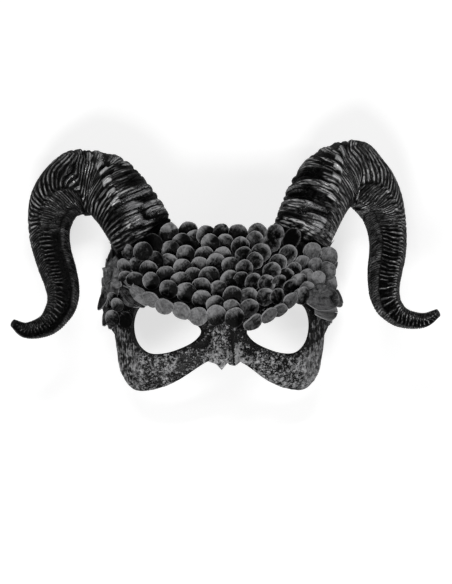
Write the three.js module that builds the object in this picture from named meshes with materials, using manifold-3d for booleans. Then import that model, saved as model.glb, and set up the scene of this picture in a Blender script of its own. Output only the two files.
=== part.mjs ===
// A horned demon half mask, lying on its back as it rests on a table.
// Millimetres, +Z up out of the face, +Y towards the crown, +X to the right of someone looking at the mask.
// The face shell is one thin formed sheet with two eye openings. Two cast ram horns stand on its upper corners,
// and overlapping round scales are glued over the forehead and the temples.
import * as THREE from "three";
import { mergeGeometries, mergeVertices } from "three/addons/utils/BufferGeometryUtils.js";
import Module from "manifold-3d";

const wasm = await Module();
wasm.setup();

// Face shell
const LEFT_WIDTH = 80.4; // from the midline to the temples, before they turn in
const RIGHT_WIDTH = 83.6;
const FACE_DEPTH = 60; // from the rim plane to the brow
const FACE_SQUARENESS = 2.6; // 2 would make the level section an ellipse
const RIM_DROP = 3; // how far the sheet runs on below the rim plane before it is trimmed flat
const RIM_CURL = { from: 30, share: 0.055 }; // the temples turn in a little towards the rim
const SHELL_THICKNESS = 2.6;
const BROW_Y = -25; // height of the fullest part of the face
const FACE_ARCH = 0.0028; // how fast the face falls away above and below the brow
const CHEEK_ROLL_Y = -68; // below this the cheek rolls back
const CHEEK_ROLL = 0.02;
const NOSE_HEIGHT = 12;
const NOSE_TOP_Y = -30;
const NOSE_TIP_Y = -68;
const NOSE_HALF_WIDTH = 10;
const SOCKET_DEPTH = 3;
const SOCKET_CENTRE = new THREE.Vector2(38, -44);
const SOCKET_REACH = new THREE.Vector2(22, 16);
const SHEET_TOP_Y = 44;
const SHEET_BOTTOM_Y = -92;
const SHEET_COLUMNS = 24;
const SHEET_ROWS = 13;
const SHEET_GRADING = 0.65; // narrower columns at the nose than at the temples

// Horns: centreline stations of the right one, from root to tip. The keel is the angle of its first keel from
// the front. The left horn differs a little: "left" is how much nearer to the midline, lower and thicker it is.
const HORN_STATIONS = [
  { x: 55.4, y: 19.6, z: 43.3, radius: 21.2, keel: 137, left: [2.4, 1.6, 1.6] },
  { x: 62.9, y: 36, z: 38, radius: 22.2, keel: 131, left: [0.9, 2, 0.8] },
  { x: 70.6, y: 49.6, z: 32.5, radius: 22.8, keel: 118, left: [0, 3.2, -0.2] },
  { x: 80.2, y: 59.6, z: 26, radius: 23.8, keel: 88, left: [0, 4.6, -0.6] },
  { x: 92.6, y: 63.6, z: 22.4, radius: 24.2, keel: 48, left: [-0.6, 7.4, -0.8] },
  { x: 104, y: 58.2, z: 21.8, radius: 21, keel: 2, left: [-0.4, 5.4, 0.8] },
  { x: 112.6, y: 47.2, z: 22.4, radius: 18.2, keel: -18, left: [-0.4, 3, 0.6] },
  { x: 117.2, y: 34.5, z: 25, radius: 15.5, keel: -27, left: [0.2, 2, 0.6] },
  { x: 118.4, y: 22, z: 30, radius: 13.8, keel: -31, left: [0.6, 1, 0.4] },
  { x: 117, y: 10, z: 38, radius: 13.1, keel: -32, left: [1.2, 2.2, 0] },
  { x: 113.9, y: -1, z: 46, radius: 12.6, keel: -32, left: [1.4, 2.4, 0] },
  { x: 111.2, y: -11.5, z: 54, radius: 11.5, keel: -33, left: [1.4, 2.4, 0.2] },
  { x: 110.7, y: -21.2, z: 60, radius: 10.5, keel: -33, left: [1.4, 1.2, 0.3] },
  { x: 113.6, y: -29.2, z: 63.5, radius: 9.3, keel: -30, left: [1.6, 1.6, 0.5] },
  { x: 121.8, y: -36.2, z: 66, radius: 7.2, keel: -22, left: [1.6, 4.4, 0.4] },
  { x: 135, y: -38, z: 70, radius: 5.2, keel: -14, left: [1.4, 6.2, 0.2] },
  { x: 144, y: -32.8, z: 77, radius: 2.8, keel: -8, left: [1.4, 6.6, 0] },
];
const HORN_COLUMNS = 14;
const HORN_RINGS = 44;
const RIDGE_HEIGHT = 0.028; // of the radius, up on one ring and down on the next
const RIDGE_FADE = 0.7; // how much of the ridges is lost inside the bend
const ROOT_ROUNDING = [0.8, 0.96]; // radius of the first rings against the full one
const ROOT_RINGS = 5; // over these the rings lean over until the end stands upright on the face
const BEND_PINCH = 21.8; // the section reaches no further than this towards the inside of the bend
const KEELS = [
  { at: 0, height: 0.07, spread: 17 },
  { at: 67.5, height: 0.06, spread: 15 },
  { at: -112.5, height: 0.08, spread: 18 },
];
const CHANNEL = { at: 34, depth: 0.1, spread: 19 }; // between the first two keels
const SECTION_MEAN = 0.965; // keeps the measured radius over keels and hollows

// Scales
const SCALE_PITCH = 11.6;
const SCALE_THICKNESS = 0.9;
const SCALE_CROWN = 0.5; // how much the middle stands above the edge
const SCALE_SIDES = 10; // 6, 10 or 14, so that flat sides face the neighbours
const SCALE_TILT = 15; // degrees the free edge is lifted
const SCALE_STANDOFF = 0.4;
const SCALE_LOWEST = 1;
const JITTER = { length: 0.1, lift: 0.12 }; // shares by which the free edges differ
const ROW_COUNT = 8;
const FIRST_ROW_Y = -26;
const ROW_PITCH = 6.85;
const ROW_REACH = 135; // the most a row may run on from the midline
const BROW_ROW = { middleY: -34.2, cornerX: 17, cornerY: -34.8, slope: 0.46, count: 10, clearance: 6.2 };
const LOWEST_FULL_ROW_Y = -15; // rows above this run on to the temples, rows below it end at the brow
const TEMPLE_LEVEL_Y = -30;
const TEMPLE_COLUMNS = [
  { out: 67, top: -17.5, count: 1 },
  { out: 74, top: -18.5, count: 1 },
  { out: 81, top: -18.5, count: 2 },
  { out: 88, top: -19.5, count: 2 },
  { out: 95, top: -18.5, count: 2 },
];

const GAP = 0.3; // between pieces that are glued face to face

const degrees = THREE.MathUtils.degToRad;
const clamp01 = (value) => Math.min(1, Math.max(0, value));
const smooth = (value) => clamp01(value) ** 2 * (3 - 2 * clamp01(value));
const bell = (value) => Math.exp(-value * value);

// To the nearest thousandth, so that corners that two pieces share are exactly the same.
const rounded = (value) => Math.round(1000 * value) / 1000;

// A repeatable number from -1 to 1 for the handmade unevenness of the scales.
function uneven(seed) {
  const wave = Math.sin(seed * 12.9898 + 4.1414) * 43758.5453;
  return 2 * (wave - Math.floor(wave)) - 1;
}

// Outer surface of the face at an angle round the head and a height up the face.
function facePoint(theta, y) {
  const across = Math.sin(theta);
  const halfWidth = theta < 0 ? LEFT_WIDTH : RIGHT_WIDTH;
  const round = Math.max(0, 1 - Math.abs(across) ** FACE_SQUARENESS) ** (1 / FACE_SQUARENESS);
  const roll = y < CHEEK_ROLL_Y ? CHEEK_ROLL * (y - CHEEK_ROLL_Y) ** 2 : 0;
  const depth = FACE_DEPTH - FACE_ARCH * (y - BROW_Y) ** 2 - roll;
  const body = (depth + RIM_DROP) * round - RIM_DROP;
  const x = halfWidth * across * (1 - RIM_CURL.share * smooth((RIM_CURL.from - body) / RIM_CURL.from));
  const nose = NOSE_HEIGHT * smooth((NOSE_TOP_Y - y) / (NOSE_TOP_Y - NOSE_TIP_Y));
  const socketX = (Math.abs(x) - SOCKET_CENTRE.x) / SOCKET_REACH.x;
  const socketY = (y - SOCKET_CENTRE.y) / SOCKET_REACH.y;
  const socket = SOCKET_DEPTH * bell(Math.hypot(socketX, socketY));
  return new THREE.Vector3(x, y, body + nose * bell(x / NOSE_HALF_WIDTH) - socket);
}

// Outward direction of the face there. At the rims it is taken from just inside them.
function faceNormal(theta, y) {
  const step = 0.004;
  const inside = THREE.MathUtils.clamp(theta, step - Math.PI / 2, Math.PI / 2 - step);
  const across = facePoint(inside + step, y).sub(facePoint(inside - step, y));
  const up = facePoint(inside, y + 1).sub(facePoint(inside, y - 1));
  return across.cross(up).normalize();
}

function signedVolume(geometry) {
  const position = geometry.attributes.position;
  const corner = (i) => new THREE.Vector3().fromBufferAttribute(position, geometry.index.getX(i));
  let volume = 0;
  for (let i = 0; i < geometry.index.count; i += 3) {
    volume += corner(i).dot(corner(i + 1).cross(corner(i + 2))) / 6;
  }
  return volume;
}

// Moves every vertex of a plain closed geometry to where place() puts it, and returns the solid.
function formed(geometry, place) {
  const position = geometry.attributes.position;
  const vertex = new THREE.Vector3();
  for (let i = 0; i < position.count; i++) {
    vertex.fromBufferAttribute(position, i);
    const moved = place(vertex);
    position.setXYZ(i, moved.x, moved.y, moved.z);
  }
  return solidOf(geometry);
}

function solidOf(geometry) {
  const bare = geometry.clone();
  bare.deleteAttribute("normal");
  bare.deleteAttribute("uv");
  const merged = mergeVertices(bare, 1e-4);
  const corners = new Uint32Array(merged.index.array);
  if (signedVolume(merged) < 0) {
    for (let i = 0; i < corners.length; i += 3) {
      [corners[i + 1], corners[i + 2]] = [corners[i + 2], corners[i + 1]];
    }
  }
  const vertices = merged.attributes.position.array;
  return new wasm.Manifold(new wasm.Mesh({ numProp: 3, vertProperties: vertices, triVerts: corners }));
}

function meshOf(name, solid, material) {
  const made = solid.getMesh();
  const geometry = new THREE.BufferGeometry();
  geometry.setAttribute("position", new THREE.Float32BufferAttribute(made.vertProperties, 3));
  geometry.setIndex(Array.from(made.triVerts));
  const flat = geometry.toNonIndexed();
  flat.computeVertexNormals();
  const mesh = new THREE.Mesh(flat, material);
  mesh.name = name;
  return mesh;
}

// A formed sheet over the whole face, from an outer offset to an inner surface.
function sheet(outerOffset, innerPoint) {
  const blank = new THREE.BoxGeometry(1, 1, 1, SHEET_COLUMNS, SHEET_ROWS, 1);
  return formed(blank, (at) => {
    const theta = Math.PI * at.x * (SHEET_GRADING + 4 * (1 - SHEET_GRADING) * at.x ** 2);
    const y = THREE.MathUtils.lerp(SHEET_BOTTOM_Y, SHEET_TOP_Y, at.y + 0.5);
    const outer = facePoint(theta, y).addScaledVector(faceNormal(theta, y), outerOffset);
    return at.z > 0 ? outer : innerPoint(theta, y);
  });
}

function prism(shape, low, high) {
  const blank = new THREE.ExtrudeGeometry(shape, { depth: high - low, bevelEnabled: false, curveSegments: 2 });
  return solidOf(blank.translate(0, 0, low));
}

const points = (pairs) => pairs.map(([x, y]) => new THREE.Vector2(x, y));

// Outline of the mask seen from the front. Both sides are alike but for the torn tip of the nose.
function outlineShape() {
  const temple = [[79, 16], [80, 7], [90, 2], [90, -35], [77, -42.5], [73.2, -48]];
  const cheek = [
    [72, -59], [69.8, -71.5], [65.8, -80], [60, -86], [52, -87],
    [41, -84.3], [30, -79], [18, -70.4], [11.5, -65.7],
  ];
  const tornTip = [[7.6, -69], [4.6, -68.4], [1.9, -65.9], [-2.6, -71.4], [-6.6, -67.6]];
  const horseshoe = [[22, 25.5], [39, 26.5], [47, 35], [60, 39.5], [72, 34], [78, 25]];
  const mirrored = (pairs) => pairs.map(([x, y]) => [-x, y]).reverse();
  const shape = new THREE.Shape();
  shape.moveTo(0, 25);
  shape.splineThru(points(horseshoe));
  for (const [x, y] of temple) shape.lineTo(x, y);
  shape.splineThru(points(cheek));
  for (const [x, y] of tornTip) shape.lineTo(x, y);
  const [start, ...rest] = mirrored(cheek);
  shape.lineTo(...start);
  shape.splineThru(points(rest));
  for (const [x, y] of mirrored(temple)) shape.lineTo(x, y);
  shape.splineThru(points([...mirrored(horseshoe), [0, 25]]));
  return shape;
}

function eyeShape(side) {
  const rim = [
    [16.2, -44.8], [20.8, -39.9], [33.5, -33.2], [47, -27.1], [53.2, -26], [59.2, -31.5],
    [61.6, -42], [58.9, -53.4], [51, -60.5], [39, -60.2], [25, -55], [18, -49.6],
  ];
  const loop = new THREE.CatmullRomCurve3(rim.map(([x, y]) => new THREE.Vector3(side * x, y, 0)), true);
  return new THREE.Shape(loop.getSpacedPoints(24).slice(0, -1).map((at) => new THREE.Vector2(at.x, at.y)));
}

function maskShell() {
  const inner = (theta, y) => facePoint(theta, y).addScaledVector(faceNormal(theta, y), -SHELL_THICKNESS);
  const above = 100;
  let shell = sheet(0, inner).intersect(prism(outlineShape(), 0, above));
  for (const side of [-1, 1]) shell = shell.subtract(prism(eyeShape(side), 0, above));
  return shell;
}

// What the horn roots are cut back by: the face grown by the glue gap and filled behind.
function faceCore() {
  const behind = (theta, y) => {
    return new THREE.Vector3(0.5 * LEFT_WIDTH * Math.sin(theta), y, 0.4 * FACE_DEPTH * Math.cos(theta) - 10);
  };
  return sheet(GAP, behind).intersect(prism(outlineShape(), -20, 100));
}

// Centreline, radius and keel angle of one horn along its length, from 0 at the root to 1 at the tip.
function hornGuide(side) {
  const stations = HORN_STATIONS.map(({ x, y, z, radius, keel, left: [nearer, lower, thicker] }) => {
    if (side > 0) return { x, y, z, radius, keel };
    return { x: nearer - x, y: y - lower, z, radius: radius + thicker, keel };
  });
  const centre = stations.map((at) => new THREE.Vector3(at.x, at.y, at.z));
  const values = stations.map((at) => new THREE.Vector3(at.radius, at.keel, 0));
  const line = new THREE.CatmullRomCurve3(centre, false, "catmullrom", 0.5);
  const along = new THREE.CatmullRomCurve3(values, false, "catmullrom", 0.5);
  return (share) => {
    const t = line.getUtoTmapping(share);
    const tangent = line.getTangent(t);
    const front = new THREE.Vector3(0, 0, 1).addScaledVector(tangent, -tangent.z).normalize();
    const inward = new THREE.Vector3().crossVectors(tangent, front).multiplyScalar(side);
    const { x: radius, y: keel } = along.getPoint(t);
    return { centre: line.getPoint(t), tangent, front, inward, radius, keel };
  };
}

const levelled = (direction) => direction.clone().setZ(0).normalize();
const turned = (angle) => ((((angle + 180) % 360) + 360) % 360) - 180;

// Radius of the horn's section at an angle from its first keel, as a share of the mean.
function hornSection(angle) {
  let radius = SECTION_MEAN;
  for (const keel of KEELS) radius += keel.height * bell(turned(angle - keel.at) / keel.spread);
  return radius - CHANNEL.depth * bell(turned(angle - CHANNEL.at) / CHANNEL.spread);
}

// One horn, or the same horn grown on all sides.
function horn(side, grown) {
  const guide = hornGuide(side);
  const blank = new THREE.CylinderGeometry(1, 1, 1, HORN_COLUMNS, HORN_RINGS - 1);
  return formed(blank, (at) => {
    const share = clamp01(at.y + 0.5);
    const ring = Math.round(share * (HORN_RINGS - 1));
    const { centre, tangent, front, inward, radius, keel } = guide(share);
    const angle = THREE.MathUtils.radToDeg(Math.atan2(at.x, at.z));
    const seen = degrees(angle + keel);
    const ridgeHeight = RIDGE_HEIGHT * (1 - RIDGE_FADE * Math.max(0, Math.sin(seen)));
    const ridge = 1 + (ring % 2 ? ridgeHeight : -ridgeHeight);
    const rounding = ROOT_ROUNDING[ring] ?? 1;
    const reach = Math.hypot(at.x, at.z) * (grown + radius * ridge * rounding * hornSection(angle));
    const inner = Math.min(BEND_PINCH, reach * Math.sin(seen));
    const offset = front.multiplyScalar(reach * Math.cos(seen)).addScaledVector(inward, inner);
    const level = levelled(tangent);
    const slide = Math.max(0, 1 - ring / ROOT_RINGS) * offset.dot(level) / tangent.dot(level);
    return centre.add(offset).addScaledVector(tangent, share < 0.5 ? -slide - grown : grown - slide);
  });
}

// Height of the brow row, level over the nose and rising along both eyes.
function browLine(x) {
  return Math.max(BROW_ROW.middleY, BROW_ROW.cornerY + BROW_ROW.slope * (Math.abs(x) - BROW_ROW.cornerX));
}

// A route over the face by arc length from where it starts, given as step => [theta, y].
function route(start, end, at) {
  const steps = 400;
  const marks = [];
  let travelled = 0;
  let last = facePoint(...at(start));
  for (let i = 0; i <= steps; i++) {
    const t = THREE.MathUtils.lerp(start, end, i / steps);
    const here = facePoint(...at(t));
    travelled += here.distanceTo(last);
    marks.push({ t, travelled });
    last = here;
  }
  return (distance) => {
    const next = marks.findIndex(({ travelled: reached }) => reached > distance);
    const i = next < 0 ? steps : Math.max(next, 1);
    const share = (distance - marks[i - 1].travelled) / (marks[i].travelled - marks[i - 1].travelled);
    return at(THREE.MathUtils.lerp(marks[i - 1].t, marks[i].t, share));
  };
}

// Where a point of a unit disc, flat in XZ, lands on the scale at this distance along a route.
// Across the route a scale rises from its fixed edge to its free edge.
function scalePoint(along, centre, seed, at) {
  const radius = SCALE_PITCH / 2 / Math.cos(Math.PI / SCALE_SIDES);
  const shared = radius * Math.sin(Math.PI / SCALE_SIDES);
  const tilt = degrees(SCALE_TILT);
  const u = rounded(centre + at.x * radius);
  const free = rounded(Math.max(0, at.z * radius - shared));
  const v = rounded(at.z * radius) + free * JITTER.length * uneven(seed + centre);
  const normal = faceNormal(...along(u));
  const onward = facePoint(...along(u + 1)).sub(facePoint(...along(u - 1))).normalize();
  const up = normal.clone().cross(onward).normalize();
  const crown = SCALE_CROWN * rounded(1 - Math.hypot(at.x, at.z));
  const lift = (v + radius) * Math.sin(tilt) + free * JITTER.lift * uneven(seed + centre + 7);
  const height = SCALE_STANDOFF + lift + crown + (at.y > 0 ? SCALE_THICKNESS : 0);
  return facePoint(...along(u)).addScaledVector(up, v * Math.cos(tilt)).addScaledVector(normal, height);
}

// The room that both horns take up, with the gap around them.
const hornRoom = horn(-1, GAP).add(horn(1, GAP));

// The surface of one scale, open towards each neighbour that it is one piece with.
function scaleSurface(along, centre, seed, before, after) {
  const disc = new THREE.CylinderGeometry(1, 1, 1, SCALE_SIDES, 1).toNonIndexed();
  const narrowSide = Math.cos(Math.PI / SCALE_SIDES) - 0.001;
  const kept = [];
  for (let i = 0; i < disc.attributes.position.count; i += 3) {
    const corners = [0, 1, 2].map((n) => new THREE.Vector3().fromBufferAttribute(disc.attributes.position, i + n));
    if (before && corners.every((at) => at.x < -narrowSide)) continue;
    if (after && corners.every((at) => at.x > narrowSide)) continue;
    kept.push(...corners.map((at) => scalePoint(along, centre, seed, at)));
  }
  return new THREE.BufferGeometry().setFromPoints(kept);
}

// The leading distances of a list whose scales keep clear of the horns and the table.
function clearRun(along, centres, seed) {
  const end = centres.findIndex((centre) => {
    const one = solidOf(scaleSurface(along, centre, seed, false, false));
    return one.boundingBox().min[2] < SCALE_LOWEST || one.intersect(hornRoom).volume() > 0;
  });
  return end < 0 ? centres : centres.slice(0, end);
}

// Scales side by side along a route, as one piece.
function run(along, centres, seed) {
  const inOrder = [...centres].sort((a, b) => a - b);
  const last = inOrder.length - 1;
  const surfaces = inOrder.map((centre, i) => scaleSurface(along, centre, seed, i > 0, i < last));
  return solidOf(mergeGeometries(surfaces));
}

// A route across the face from temple to temple at y = height(x), measured from the midline.
function crossing(height) {
  const half = route(0, Math.PI / 2, (theta) => [theta, height(facePoint(theta, BROW_Y).x)]);
  return (distance) => {
    const [theta, y] = half(Math.abs(distance));
    return [Math.sign(distance) * theta, y];
  };
}

function scaleRow(row) {
  const y = FIRST_ROW_Y + row * ROW_PITCH;
  const along = crossing(() => y);
  const first = row % 2 ? 0 : 0.5;
  const aboveBrow = (distance) => y > browLine(facePoint(...along(distance)).x) + BROW_ROW.clearance;
  const fits = (distance) => distance < ROW_REACH && (y > LOWEST_FULL_ROW_Y || aboveBrow(distance));
  const centres = [1, -1].flatMap((side) => {
    const places = [];
    for (let n = side > 0 ? first : 1 - first; fits(n * SCALE_PITCH); n++) places.push(side * n * SCALE_PITCH);
    return clearRun(along, places, 97 * row);
  });
  return run(along, centres, 97 * row);
}

// The lowest row, which edges both eyes and crosses the bridge of the nose.
function browScales() {
  const centres = [];
  for (let n = 0.5; n < BROW_ROW.count / 2; n++) centres.push(n * SCALE_PITCH, -n * SCALE_PITCH);
  return run(crossing(browLine), centres, 900);
}

// One column of the scales that wrap the outer corner of an eye, free towards the temple.
function templeScales(side, { out, top, count }) {
  const [theta] = crossing(() => TEMPLE_LEVEL_Y)(side * out);
  const length = count * SCALE_PITCH;
  const down = route(0, length + SCALE_PITCH, (fall) => [theta, top - fall]);
  const along = (distance) => down(side > 0 ? distance : length - distance);
  const centres = [];
  for (let n = 0; n < count; n++) centres.push((n + 0.5) * SCALE_PITCH);
  return run(along, centres, 500 + out);
}

const materials = {
  shell: new THREE.MeshStandardMaterial({ color: 0x3a3a3c, roughness: 0.6, metalness: 0.15 }),
  horn: new THREE.MeshStandardMaterial({ color: 0x101011, roughness: 0.28, metalness: 0.05 }),
  scale: new THREE.MeshStandardMaterial({ color: 0x2c2c2e, roughness: 0.5, metalness: 0.1 }),
};

const mask = new THREE.Group();
mask.add(meshOf("mask_shell", maskShell(), materials.shell));

const floorBlock = solidOf(new THREE.BoxGeometry(400, 400, 20).translate(0, 0, -10));
for (const [name, side] of [["horn_left", -1], ["horn_right", 1]]) {
  const cut = horn(side, 0).subtract(faceCore()).subtract(floorBlock);
  mask.add(meshOf(name, cut, materials.horn));
}

for (let row = 0; row < ROW_COUNT; row++) {
  mask.add(meshOf(`scale_row_${row + 1}`, scaleRow(row), materials.scale));
}
mask.add(meshOf("brow_scales", browScales(), materials.scale));
for (const [word, side] of [["left", -1], ["right", 1]]) {
  TEMPLE_COLUMNS.forEach((column, index) => {
    mask.add(meshOf(`temple_scales_${word}_${index + 1}`, templeScales(side, column), materials.scale));
  });
}

// The origin is under the middle of the mask, on the surface it lies on.
const box = new THREE.Box3().setFromObject(mask);
mask.position.set(-(box.min.x + box.max.x) / 2, -(box.min.y + box.max.y) / 2, -box.min.z);

export default mask;
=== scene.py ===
"""Finished looks of a horned demon half mask, lying on its back on a pale table.

The face shell, both ram horns, the overlapping scales and the leather petals at the temples are modelled
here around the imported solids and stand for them. Sizes are in millimetres in the face's own frame, which is
the row frame moved by MIDLINE, and become metres when a mesh is written. Angles are in degrees, apart from
theta, the angle round the head, which is in radians.
"""
import itertools
import math

import bmesh
import bpy
import numpy as np
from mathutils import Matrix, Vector


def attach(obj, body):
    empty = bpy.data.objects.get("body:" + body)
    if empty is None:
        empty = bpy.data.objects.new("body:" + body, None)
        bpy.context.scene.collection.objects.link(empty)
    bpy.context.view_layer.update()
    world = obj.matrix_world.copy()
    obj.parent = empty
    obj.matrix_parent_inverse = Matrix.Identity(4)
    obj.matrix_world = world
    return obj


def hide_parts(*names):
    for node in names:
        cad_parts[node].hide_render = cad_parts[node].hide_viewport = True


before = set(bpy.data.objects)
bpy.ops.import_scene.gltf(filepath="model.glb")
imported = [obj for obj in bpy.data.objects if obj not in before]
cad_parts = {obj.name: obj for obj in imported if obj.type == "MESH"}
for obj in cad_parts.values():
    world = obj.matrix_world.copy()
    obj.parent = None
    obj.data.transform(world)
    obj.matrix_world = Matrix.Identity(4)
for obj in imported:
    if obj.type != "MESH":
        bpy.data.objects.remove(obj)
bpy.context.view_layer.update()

bl_info = {
    "name": "Horned demon half mask",
    "version": (1, 0, 0),
    "blender": (4, 5, 0),
    "location": "3D View > Sidebar > Mask",
    "description": "Builds the shell, horns, scales and petals of a horned half mask",
    "category": "Add Mesh",
}

MM = 0.001
MIDLINE = np.array([-0.705, -0.143, 0.0])  # where the middle of the brow stands in the row frame


def nodes_named(start):
    return sorted(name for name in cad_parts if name.startswith(start))


# Small curves and noise


def smooth(value):
    value = np.clip(value, 0, 1)
    return value * value * (3 - 2 * value)


def rise(value, start, over):
    """0 up to start, then up to 1 over a width."""
    return smooth((value - start) / over)


def fall(value, end, over):
    """Down from 1 to 0 over a width, 0 from end on."""
    return smooth((end - value) / over)


def between(value, low, high, soft):
    """1 from low to high, fading to 0 over a soft width outside."""
    return smooth((value - low) / soft + 1) * smooth((high - value) / soft + 1)


def bell(value, middle=0.0, spread=1.0):
    return np.exp(-np.square((value - middle) / spread))


def folds(place, pitch):
    """Rounded folds with narrow valleys between them."""
    return 2 * np.abs(np.sin(np.pi * place / pitch)) ** 0.7 - 1.4


def spline(before, start, end, after, share):
    """Points of a smooth curve from start to end, shaped by the points before and after them."""
    leave, arrive = (end - before) / 2, (after - start) / 2
    bend = 3 * (end - start) - 2 * leave - arrive
    return start + leave * share + bend * share**2 + (2 * (start - end) + leave + arrive) * share**3


class Noise:
    """Smooth repeatable noise from -1 to 1 over two coordinates, one cell to a unit."""

    CELLS = 256
    LAYER_SHIFT = (17.3, 9.1)  # keeps the layers from lying on one another

    def __init__(self, seed):
        self.lattice = np.random.default_rng(seed).uniform(-1, 1, (self.CELLS, self.CELLS))

    def __call__(self, u, v, wrap=CELLS):
        u, v = np.broadcast_arrays(u, v)
        left, low = np.floor(u).astype(int), np.floor(v).astype(int)
        share_u, share_v = smooth(u - left), smooth(v - low)
        at = lambda i, j: self.lattice[i % self.CELLS, j % wrap]
        bottom = at(left, low) * (1 - share_u) + at(left + 1, low) * share_u
        top = at(left, low + 1) * (1 - share_u) + at(left + 1, low + 1) * share_u
        return bottom * (1 - share_v) + top * share_v

    def round(self, u, angle, cells):
        """The same, over a length and an angle, closing on itself after a full turn."""
        return self(u, angle * cells / 360, cells)

    def layered(self, u, v, layers=3):
        """Layers of noise, each twice as fine and half as strong as the one before."""
        shift_u, shift_v = self.LAYER_SHIFT
        return sum(self(u * 2**n + shift_u * n, v * 2**n + shift_v * n) / 2**n for n in range(layers))


# The surface of the face

FACE_WIDTH = {"left": 80.4, "right": 83.6}
LEFT_DRAWN_IN, DRAWN_IN_FROM, DRAWN_IN_OVER = 0.03, -2.0, 12.0
FACE_DEPTH = 60.0
FACE_SQUARENESS = 2.6
RIM_DROP = 3.0
RIM_CURL_FROM, RIM_CURL = 30.0, 0.055
BROW_Y = -25.0
FACE_ARCH = 0.0028
CHEEK_ROLL_Y, CHEEK_ROLL = -68.0, 0.02
NOSE_HEIGHT, NOSE_TOP_Y, NOSE_TIP_Y, NOSE_HALF_WIDTH = 12.0, -30.0, -68.0, 10.0
SOCKET_DEPTH, SOCKET_CENTRE, SOCKET_REACH = 3.0, (38.0, -44.0), (22.0, 16.0)


def face_point(theta, y):
    """Points of the outer surface at angles round the head and heights up the face."""
    theta, y = np.broadcast_arrays(np.asarray(theta, float), np.asarray(y, float))
    across = np.sin(theta)
    left_width = FACE_WIDTH["left"] * (1 - LEFT_DRAWN_IN * rise(y, DRAWN_IN_FROM, DRAWN_IN_OVER))
    half_width = np.where(theta < 0, left_width, FACE_WIDTH["right"])
    level = np.maximum(0, 1 - np.abs(across) ** FACE_SQUARENESS) ** (1 / FACE_SQUARENESS)
    roll = np.where(y < CHEEK_ROLL_Y, CHEEK_ROLL * (y - CHEEK_ROLL_Y) ** 2, 0)
    body = (FACE_DEPTH - FACE_ARCH * (y - BROW_Y) ** 2 - roll + RIM_DROP) * level - RIM_DROP
    x = half_width * across * (1 - RIM_CURL * fall(body, RIM_CURL_FROM, RIM_CURL_FROM))
    nose = NOSE_HEIGHT * fall(y, NOSE_TOP_Y, NOSE_TOP_Y - NOSE_TIP_Y) * bell(x, 0, NOSE_HALF_WIDTH)
    socket = SOCKET_DEPTH * bell(np.abs(x), SOCKET_CENTRE[0], SOCKET_REACH[0])
    socket = socket * bell(y, SOCKET_CENTRE[1], SOCKET_REACH[1])
    return np.stack([x, y, body + nose - socket], -1)


def unit(vectors):
    return vectors / np.maximum(np.linalg.norm(vectors, axis=-1, keepdims=True), 1e-9)


def face_axes(theta, y, step=0.004, rise_by=0.5):
    """Directions onward round the face, up the face and out of it."""
    theta = np.clip(theta, step - math.pi / 2, math.pi / 2 - step)
    onward = unit(face_point(theta + step, y) - face_point(theta - step, y))
    up = face_point(theta, y + rise_by) - face_point(theta, y - rise_by)
    out = unit(np.cross(onward, up))
    return onward, unit(np.cross(out, onward)), out


class Girth:
    """Turns distances round the face, measured from the midline, into angles, at any height."""

    def __init__(self, low=-96.0, high=50.0, rows=147, steps=361):
        self.low, self.high = low, high
        self.theta = np.linspace(-math.pi / 2, math.pi / 2, steps)
        self.heights = np.linspace(low, high, rows)
        grid = face_point(self.theta[None, :], self.heights[:, None])
        lengths = np.linalg.norm(np.diff(grid, axis=1), axis=2)
        run = np.concatenate([np.zeros((rows, 1)), np.cumsum(lengths, axis=1)], axis=1)
        self.run = run - run[:, [steps // 2]]
        self.level = grid[:, :, 2]

    def reach(self, side):
        """How far round the rim is at each height, where the shell meets the table."""
        outwards = slice(len(self.theta) // 2, None, side)
        rows = zip(self.run, self.level)
        return np.array([np.interp(0.0, -level[outwards], run[outwards]) for run, level in rows])

    def angle(self, distance, y):
        distance, y = np.broadcast_arrays(np.asarray(distance, float), np.asarray(y, float))
        last = len(self.heights) - 1
        row = np.clip((y - self.low) / (self.high - self.low) * last, 0, last - 0.001).ravel()
        low = np.floor(row).astype(int)
        flat = distance.ravel()
        angles = np.empty(flat.shape)
        for index in np.unique(low):
            chosen = np.flatnonzero(low == index)
            below, above = (np.interp(flat[chosen], self.run[index + n], self.theta) for n in (0, 1))
            part = row[chosen] - index
            angles[chosen] = below * (1 - part) + above * part
        return angles.reshape(distance.shape)


GIRTH = Girth()
RIM_REACH = {side: GIRTH.reach(side) for side in (-1, 1)}


# Meshes

SEAM_GAP, SHELL_GAP = 0.01, 0.02  # corners nearer to each other than this are one


def metres(points):
    return (points + MIDLINE) * MM


def kept_above(points, gap):
    """Points with those under a gap over the table lifted up to it."""
    points[..., 2] = np.maximum(points[..., 2], gap)
    return points


def deselect():
    bpy.ops.object.select_all(action="DESELECT")


def pick(*parts):
    """Selects only these, with the first one active."""
    deselect()
    for part in parts:
        part.select_set(True)
    bpy.context.view_layer.objects.active = parts[0]


def mesh_object(name, points, faces):
    mesh = bpy.data.meshes.new(name)
    mesh.from_pydata(metres(points).tolist(), [], faces)
    made = bpy.data.objects.new(name, mesh)
    bpy.context.scene.collection.objects.link(made)
    return made


def grid_object(name, points, attributes, uv=None):
    """A sheet of quads through a grid of points, started from Blender's own grid."""
    rows, columns = points.shape[:2]
    deselect()
    bpy.ops.mesh.primitive_grid_add(x_subdivisions=columns - 1, y_subdivisions=rows - 1, size=1)
    made = bpy.context.active_object
    made.name = made.data.name = name
    made.data.vertices.foreach_set("co", metres(points).astype(np.float32).ravel())
    store(made, **attributes)
    if uv is not None:
        lay_out(made, made.data.uv_layers.active, uv)
    made.data.update()
    return made


def store(made, **attributes):
    for key, values in attributes.items():
        layer = made.data.attributes.new(key, "FLOAT", "POINT")
        layer.data.foreach_set("value", np.asarray(values, np.float32).ravel())


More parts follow.
